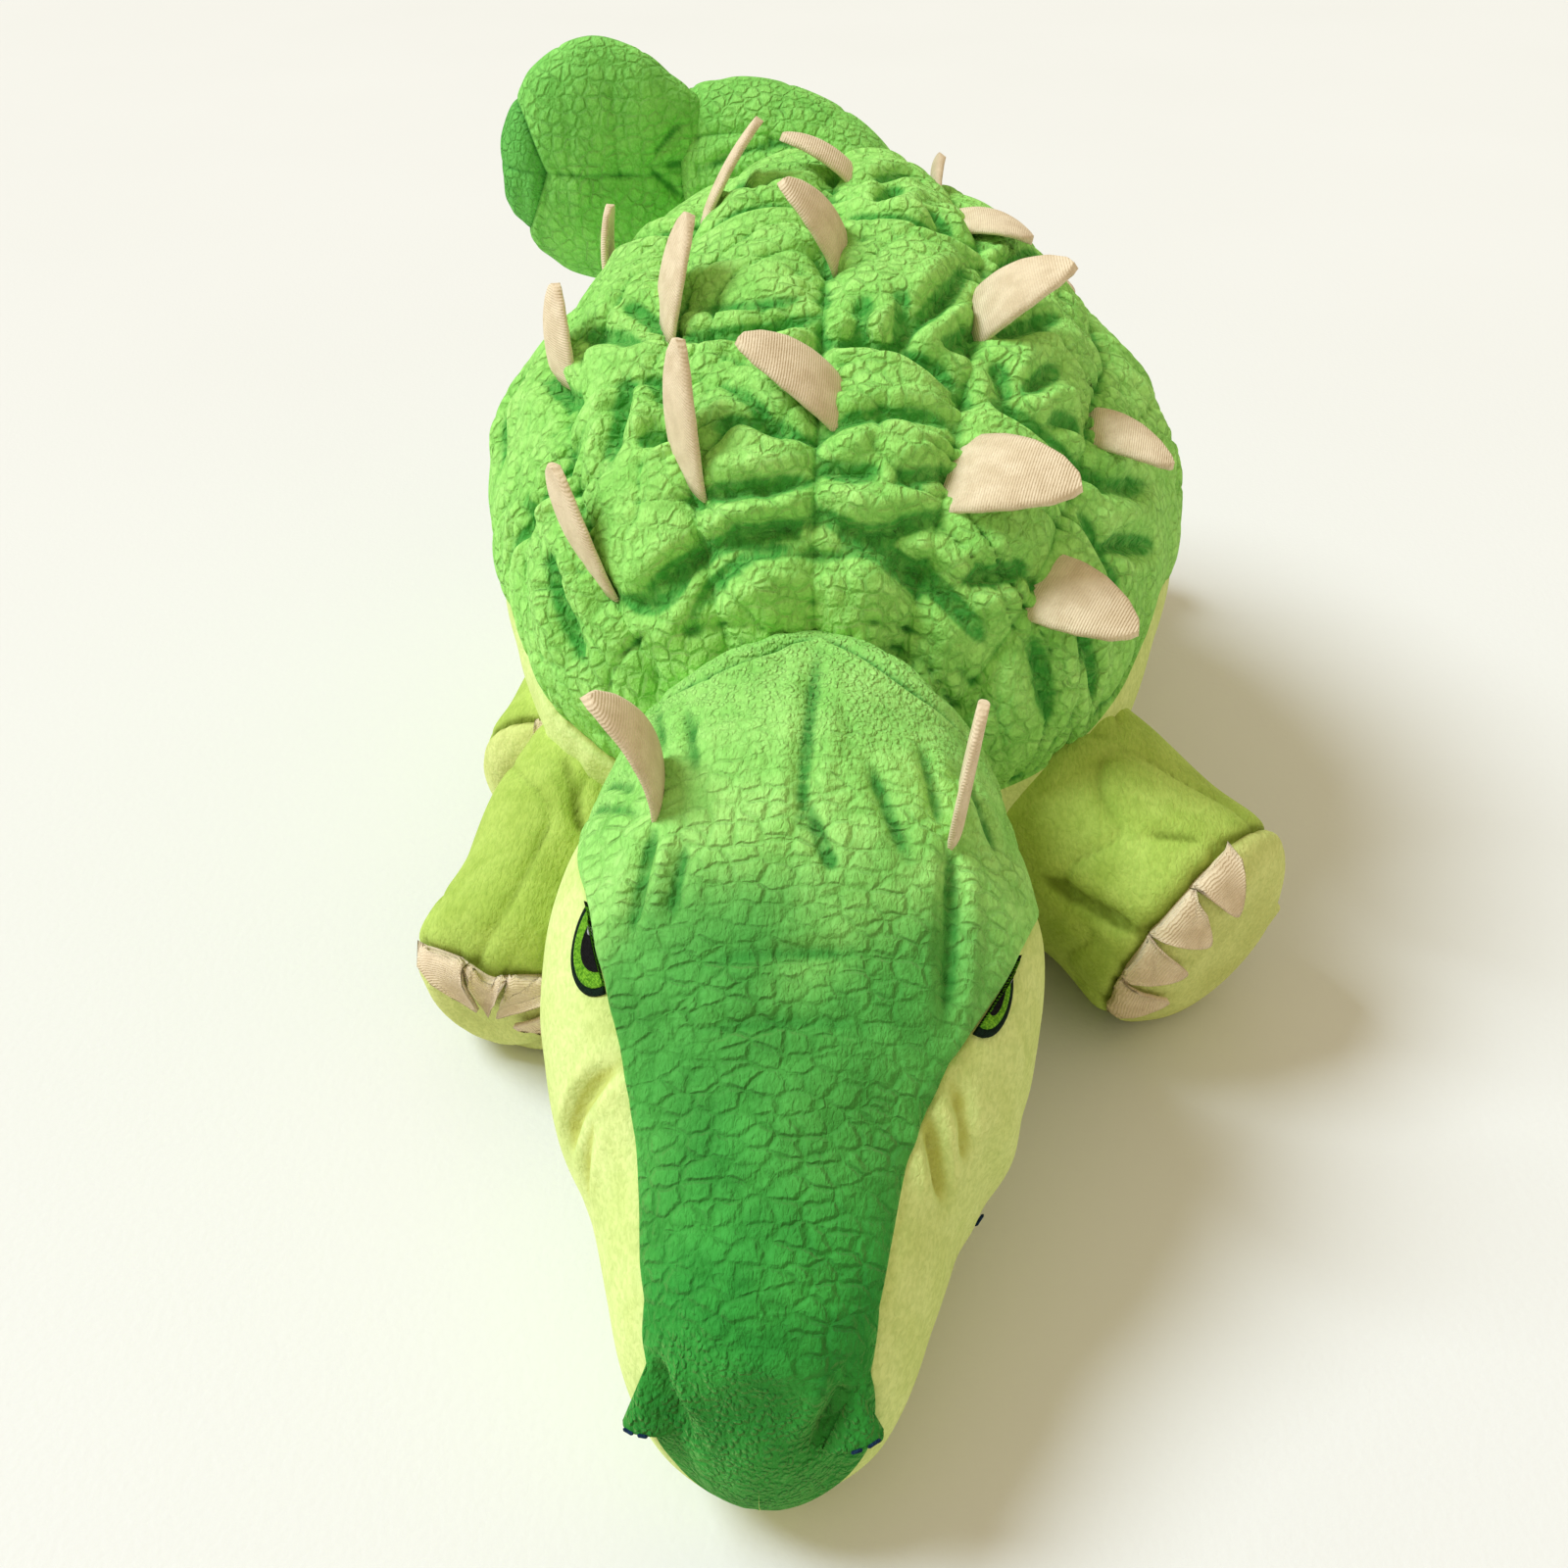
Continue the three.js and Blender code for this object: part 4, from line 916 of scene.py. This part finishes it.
# Darts of the tail and the club where they meet, as folds on the head
TAIL_DARTS = [(0.97, 55, 0.6, 96, 0, 2)]
CLUB_DARTS = [(0.27, 5, 0.1, 42, 0, 1.8), (0.27, 5, 0.1, -20, 0, 1.8), (0.27, 5, 0.02, 8, 0, 1.8)]


def make_tail():
    half = 66
    form = Form(tail_at, steps_round(130), np.linspace(-90, 270, 2 * half, endpoint=False))
    gap = form.from_seams([0, half])
    form.inflate(gap, 0.5, 3, 40, 40)
    form.puff(gap, 1.4, reach=9)
    form.sink(gap, 1.2, reach=2)
    form.bumps(1.2, 20, 24, seed=41)
    form.wrinkles(1.2, 16, 40, seed=42, width=0.1)
    form.fold(TAIL_DARTS, width=2.6)
    form.settle()
    form.sew("tail_upper", "tail", ["tail_panel_upper", "tail_stuffing"], TAIL_PLUSH, 0, half)
    form.sew("tail_lower", "tail", ["tail_panel_lower"], TAIL_PLUSH, half, 2 * half)


def make_club():
    half = 72
    angles = np.linspace(0, 360, 2 * half, endpoint=False)
    shares = steps_round(120)
    cut = int(np.argmin(np.abs(shares - TIP_SHARE)))
    seam = TIP_SHARE - 0.06 + 0.15 * np.abs(np.sin(np.radians(angles)))
    form = Form(club_at, with_seam(shares, cut, seam), angles)
    gap = form.from_seams([0, half])
    from_tip = np.abs(form.along - form.along[cut])
    form.inflate(np.minimum(gap, from_tip), 0.5, 3, 40, 48)
    form.puff(gap, 1.4, reach=9)
    form.sink(gap, 0.5, reach=1.6)
    form.sink(from_tip, 2, reach=2.6)
    form.bumps(1.0, 20, 24, seed=43)
    form.wrinkles(0.8, 18, 30, seed=44, width=0.1)
    form.fold(CLUB_DARTS, width=2)
    # Painted shade along the seams and round the tip
    form.crease_shade += 0.25 * near(np.minimum(gap, from_tip), 1.4)
    form.settle()
    body, tip = slice(0, cut + 1), slice(cut, None)
    form.sew("club_upper", "club", ["club_panel_upper", "club_stuffing"], CLUB_PLUSH, 0, half, body)
    form.sew("club_lower", "club", ["club_panel_lower"], CLUB_PLUSH, half, 2 * half, body)
    form.sew("club_tip_lobe", "club", ["club_tip"], TIP, 0, 2 * half, tip)


# Felt

# Outline of a leaf: share of its width and of its height
LEAF = np.array(
    [[-0.5, 0], [-0.5, 0.22], [-0.44, 0.5], [-0.29, 0.8], [-0.13, 0.95], [0, 1],
     [0.15, 0.95], [0.3, 0.78], [0.43, 0.5], [0.49, 0.22], [0.5, 0]]
)
LEAF_THICK, LEAF_ROOT, LEAF_CUP = 3.2, 7, 1.2


def leaf(name, first, last, out, lean, sweep, length, curl):
    """A felt leaf on a base: it leans to the right and sweeps back by these degrees from straight up, and its
    middle is bowed outwards."""
    lean, sweep = math.radians(lean), math.radians(sweep)
    way = np.array([math.sin(lean), math.cos(lean) * math.sin(sweep), math.cos(lean) * math.cos(sweep)])
    middle, across, rise = (first + last) / 2, last - first, way * length
    through = unit(np.cross(across, rise))
    root = [-LEAF_ROOT / length, -0.5 * LEAF_ROOT / length]
    ups = np.concatenate([root, 1 - (1 - np.linspace(0, 1, 28)) ** 1.7])
    half = len(LEAF) // 2
    left = np.interp(ups, LEAF[:half + 1, 1], LEAF[:half + 1, 0])
    right = np.interp(ups, LEAF[half:, 1][::-1], LEAF[half:, 0][::-1])
    share = np.linspace(0, 1, 17)
    spread = left[:, None] + (right - left)[:, None] * share
    height = np.broadcast_to(ups[:, None], spread.shape)
    bow = 4 * curl * length * height * (1 - height) + LEAF_CUP * (0.5 - 4 * spread ** 2)
    bow = bow * np.sign(np.dot(through, out))
    grid = middle + spread[..., None] * across + height[..., None] * rise + through * bow[..., None]
    body = (LEAF_THICK / 2 * (1 - 0.6 * np.abs(2 * share - 1) ** 8))[None, :, None]
    points = np.vstack([(grid + through * body).reshape(-1, 3), (grid - through * body).reshape(-1, 3)])
    flat = np.stack([spread * np.linalg.norm(across), height * length], -1).reshape(-1, 2) / 1000
    return mesh_object(name, points, sheet_faces(*spread.shape).tolist(), FELT, uv=np.vstack([flat, flat]))


# Each spike: share and lane at the front and the rear of its base, lean to the right, sweep back, length
SPIKES = {
    "centre_1": (0.175, 0.05, 0.25, 0.06, -63, 11, 32),
    "centre_2": (0.412, 0.02, 0.492, 0.08, -43, -10, 28),
    "centre_3": (0.637, 0.08, 0.706, 0.1, -67, 6, 27),
    "left_inner_1": (0.128, -0.87, 0.2, -1.08, 0, 14, 34),
    "left_inner_2": (0.335, -0.98, 0.435, -1.07, 18, 12, 29),
    "left_inner_3": (0.581, -0.84, 0.66, -0.92, 32, 16, 33),
    "left_outer_1": (0.094, -1.96, 0.175, -2.12, -15, 14, 28),
    "left_outer_2": (0.36, -1.83, 0.45, -2.05, 2, 6, 27),
    "left_outer_3": (0.59, -1.78, 0.695, -2.1, 5, 5, 27),
    "right_inner_1": (0.116, 1.1, 0.205, 1.16, 67, -83, 36),
    "right_inner_2": (0.343, 1.09, 0.426, 0.97, 57, -22, 33),
    "right_inner_3": (0.55, 0.97, 0.65, 1.05, 52, -101, 26),
    "right_inner_4": (0.743, 0.9, 0.82, 0.98, 10, 80, 19),
    "right_outer_1": (0.084, 2.05, 0.144, 2.07, 54, -105, 33),
    "right_outer_2": (0.299, 2.07, 0.361, 2.05, 49, -108, 28),
    "right_outer_3": (0.63, 2, 0.71, 2, 8, 120, 22),
}
TORSO_CORE = TORSO.inside(0, 0.4, 0.3)
# Blades that lean further than this are bent more
STRONG_LEAN, SPIKE_CURL, MORE_CURL = 40, 0.04, 0.05
# Each horn: share and degrees at the front and the rear of its base, lean, sweep, length, curl
HORNS = {
    "left": ((0.43, 121.5), (0.335, 125), -28, -8, 38, 0.14),
    "right": ((0.44, 53.5), (0.325, 46), 5, -6, 40, 0.0),
}


def make_felt():
    for name, (share, lane, last_share, last_lane, lean, sweep, length) in SPIKES.items():
        first, last = TORSO.at(share, lane_angle(lane)), TORSO.at(last_share, lane_angle(last_lane))
        out = unit((first + last) / 2 - TORSO_CORE)
        curl = SPIKE_CURL + MORE_CURL * (abs(lean) > STRONG_LEAN)
        piece = leaf("felt_spike_" + name, first + out, last + out, out, lean, sweep, length, curl)
        dress(piece, "torso", ["spike_" + name])
    for name, (front, rear, lean, sweep, length, curl) in HORNS.items():
        piece = leaf("felt_horn_" + name, HEAD.at(*front), HEAD.at(*rear), X, lean, sweep, length, curl)
        dress(piece, "head", ["horn_" + name])


# Face

# How deep a patch of thread goes into the fabric, and the bead along its edge
PATCH_DEPTH, PATCH_BEAD = 1.6, 0.15


def patch(name, centre, radii, lift, material):
    """A round embroidered patch on the head, cut off by the crown's edge."""
    turn = np.linspace(0, 2 * math.pi, 73)
    reach = np.append(np.linspace(0.02, 1, 14), 1.0)[:, None]
    heights = np.full(len(reach), lift)
    heights[-3] += PATCH_BEAD
    heights[-1] -= PATCH_DEPTH
    shares = centre[0] + radii[0] * reach * np.cos(turn)
    degrees = centre[1] + radii[1] * reach * np.sin(turn)
    right, left = head_seams(shares)[:2]
    degrees = np.where(degrees > 90, np.maximum(degrees, 180 - left + 0.5), np.minimum(degrees, right - 0.5))
    place = HEAD.at(shares, degrees)
    across, along = HEAD.at(shares, degrees + 0.1) - place, HEAD.at(shares + 0.001, degrees) - place
    grid = place + unit(np.cross(across, along)) * heights[:, None, None]
    return grid_object(name, grid, material, uv=place[..., 1:].reshape(-1, 2) / 1000)


# Eyes as (share, degrees) places on the head: centre and radii of the rim, the iris, the pupil, the glint
EYES = {
    "left": [((0.538, 136), (0.055, 11)), ((0.538, 136), (0.047, 9.4)), ((0.539, 135), (0.031, 7.2)),
             ((0.522, 138.4), (0.006, 1.1))],
    "right": [((0.556, 39.5), (0.055, 9.5)), ((0.556, 39.5), (0.047, 7.9)), ((0.556, 37), (0.03, 3.2)),
              ((0.541, 36), (0.003, 0.5))],
}
LAYERS = {"rim": RIM_THREAD, "iris": IRIS_THREAD, "pupil": PUPIL_THREAD, "glint": GLINT_THREAD}
FIRST_LAYER, LAYER_STEP = 0.6, 0.3
# Corners of the mouth, where the photograph shows a stitch on each side, as (share, degrees)
MOUTH_CORNERS = {"left": (0.64, 199), "right": (0.68, -19)}
STITCH_THICK, HALF_STITCH, STITCH_SIDES = 0.45, 0.007, 8
# Rings of a stitch: share of its length, and of its thickness
STITCH_RINGS = [(0, 0.35), (0.12, 1), (0.88, 1), (1, 0.35)]


def make_face():
    for name, rounds in EYES.items():
        for layer, ((part, material), (centre, radii)) in enumerate(zip(LAYERS.items(), rounds)):
            piece = patch(f"eye_{part}_{name}", centre, radii, FIRST_LAYER + LAYER_STEP * layer, material)
            dress(piece, "head", ["eye_" + name] if part == "rim" else [])
    for name, (share, degrees) in MOUTH_CORNERS.items():
        make_nostril(name)
        ends = [HEAD.at([share + step], [degrees]) for step in (-HALF_STITCH, HALF_STITCH)]
        stitches("mouth_stitch_" + name, *ends)


def stitches(name, starts, ends):
    """Short thick stitches of navy thread, each a little tube with round ends."""
    turn = np.linspace(0, 2 * math.pi, STITCH_SIDES, endpoint=False)[:, None]
    places, faces = [], []
    for start, end in zip(starts, ends):
        first = STITCH_SIDES * len(places)
        side = unit(np.cross(unit(end - start), [0.3, 0.2, 1.0]))
        rise = np.cross(unit(end - start), side)
        for share, radius in STITCH_RINGS:
            ring = STITCH_THICK * radius * (side * np.cos(turn) + rise * np.sin(turn))
            places.append(start + (end - start) * share + ring)
        last = STITCH_SIDES * (len(places) - 1)
        faces += (grid_faces(len(STITCH_RINGS), STITCH_SIDES, closed=True) + first).tolist()
        faces += [list(range(first, first + STITCH_SIDES))[::-1], list(range(last, last + STITCH_SIDES))]
    points = np.concatenate(places)
    dress(mesh_object(name, points, faces, NAVY_THREAD, uv=points[:, :2] / 1000), "head", [])


# Where the flap starts, its outer and inner feet on the snout, and its lifted tip
NOSTRILS = {
    "left": [(0.925, 150), (0.945, 186), (0.973, 165), (-38.5, -209, 35.5)],
    "right": [(0.941, 42), (0.955, 2), (0.984, 21), (24.5, -211, 42)],
}
SNOUT_CORE = np.array([HEAD.shift, -190, 20])
NOSTRIL_ROWS, NOSTRIL_STEPS, NOSTRIL_SWELL, NOSTRIL_BULGE, NOSTRIL_THICK = 26, 14, 13, 4, 1.8


def make_nostril(name):
    """A pinched ear of the crown's fabric: it rises from a point on the snout to an open, lifted mouth."""
    start, outer, inner, tip = NOSTRILS[name]
    a, b, c = (HEAD.at(*place) for place in (start, outer, inner))
    tip = np.array(tip)
    out = unit((tip + c) / 2 - SNOUT_CORE)
    u = np.linspace(0, 1, NOSTRIL_STEPS)[:, None]
    rows = []
    for t in np.linspace(0, 1, NOSTRIL_ROWS):
        low, high, top = a + (b - a) * t, a + (c - a) * t, a + (tip - a) * t ** 0.9
        rise = low + (top - low) * u + out * (NOSTRIL_BULGE * t * u * (1 - u))
        swell = NOSTRIL_SWELL * math.sin(math.pi * 0.5 * t) * u * (1 - u)
        fall = top + (high - top) * u + unit(out + 0.6 * Z) * swell
        rows.append(np.concatenate([rise[:-1], fall]))
    rise_corner = 0.16 * np.linspace(0, 1, NOSTRIL_STEPS - 1) ** 3
    fall_corner = 0.16 * np.abs(np.linspace(-1, 1, NOSTRIL_STEPS)) ** 3
    face = np.array(rows) + 0.8 * out
    face = face - (face - a) * np.concatenate([rise_corner, fall_corner])[:, None]
    grid = np.concatenate([face, (face - NOSTRIL_THICK * out + 1.2 * Y)[::-1]])
    # Painted shade on the flap: faint on its face, deepening towards the valley by the snout, and full on its
    # back
    dark = np.concatenate([np.full(17, 0.15), np.linspace(0.2, 0.9, 10) ** 2])
    crease_shade = np.concatenate([np.broadcast_to(dark, face.shape[:2]), np.ones(face.shape[:2])])
    values = {"tint": np.ones(crease_shade.shape), "crease_shade": crease_shade, "curl": np.full(crease_shade.shape, 0.7)}
    piece = grid_object("nostril_flap_" + name, grid, CROWN[0], values)
    dress(piece, "head", ["nostril_" + name])
    rim = face[-1, NOSTRIL_STEPS - 1:] + 0.3 * out
    stitches("nostril_stitches_" + name, rim[[2, 6]], rim[[5, 8]])


# Stage

CAMERA_PLACE, LENS, SENSOR = (0.016885, -0.48271, 0.3845), 37.125, 36
SUN_WAY, SUN_STRENGTH, SUN_WIDTH, SUN_COLOUR = (-0.9, 0.15, 1.0), 3.05, 26, (0.8, 0.92, 1)
SKY_COLOUR, SKY_STRENGTH = (1, 0.86, 0.6, 1), 0.62
FLOOR_HALF = 6


def add_camera():
    lens = bpy.data.cameras.new("camera")
    lens.lens, lens.sensor_width = LENS, SENSOR
    lens.clip_start, lens.clip_end = 0.01, 20
    camera = bpy.data.objects.new("camera", lens)
    camera.location = CAMERA_PLACE
    camera.rotation_euler = (math.radians(90 - CAMERA_PITCH), 0, math.radians(CAMERA_YAW))
    bpy.context.collection.objects.link(camera)
    bpy.context.scene.camera = camera


def add_light():
    """One wide soft sun, as from a window behind and to the left, and a warm even sky."""
    data = bpy.data.lights.new("window", "SUN")
    data.energy, data.color, data.angle = SUN_STRENGTH, SUN_COLOUR, math.radians(SUN_WIDTH)
    light = bpy.data.objects.new("window", data)
    light.rotation_euler = Vector(SUN_WAY).to_track_quat("Z", "Y").to_euler()
    bpy.context.collection.objects.link(light)
    world = bpy.data.worlds.new("world")
    bpy.context.scene.world = world
    world.use_nodes = True
    sky = world.node_tree.nodes["Background"].inputs
    sky[0].default_value, sky[1].default_value = SKY_COLOUR, SKY_STRENGTH
    bpy.context.scene.view_settings.view_transform = "Standard"


def add_floor():
    s = Shader("floor")
    tone = s.mix(s.noise(s.where, 3.0), linear((229, 228, 228)), linear((233, 232, 233)))
    mesh = bpy.data.meshes.new("floor")
    corners = ((-1, -1), (1, -1), (1, 1), (-1, 1))
    mesh.from_pydata([(x * FLOOR_HALF, y * FLOOR_HALF, 0) for x, y in corners], [], [(0, 1, 2, 3)])
    mesh.materials.append(s.finish(tone, s.noise(s.where, 400.0), 0.0001, 0.6))
    floor = bpy.data.objects.new("floor", mesh)
    bpy.context.collection.objects.link(floor)


make_torso()
make_head()
make_neck()
for leg_name in LEGS:
    make_leg(leg_name)
make_tail()
make_club()
make_felt()
make_face()
add_camera()
add_floor()
add_light()
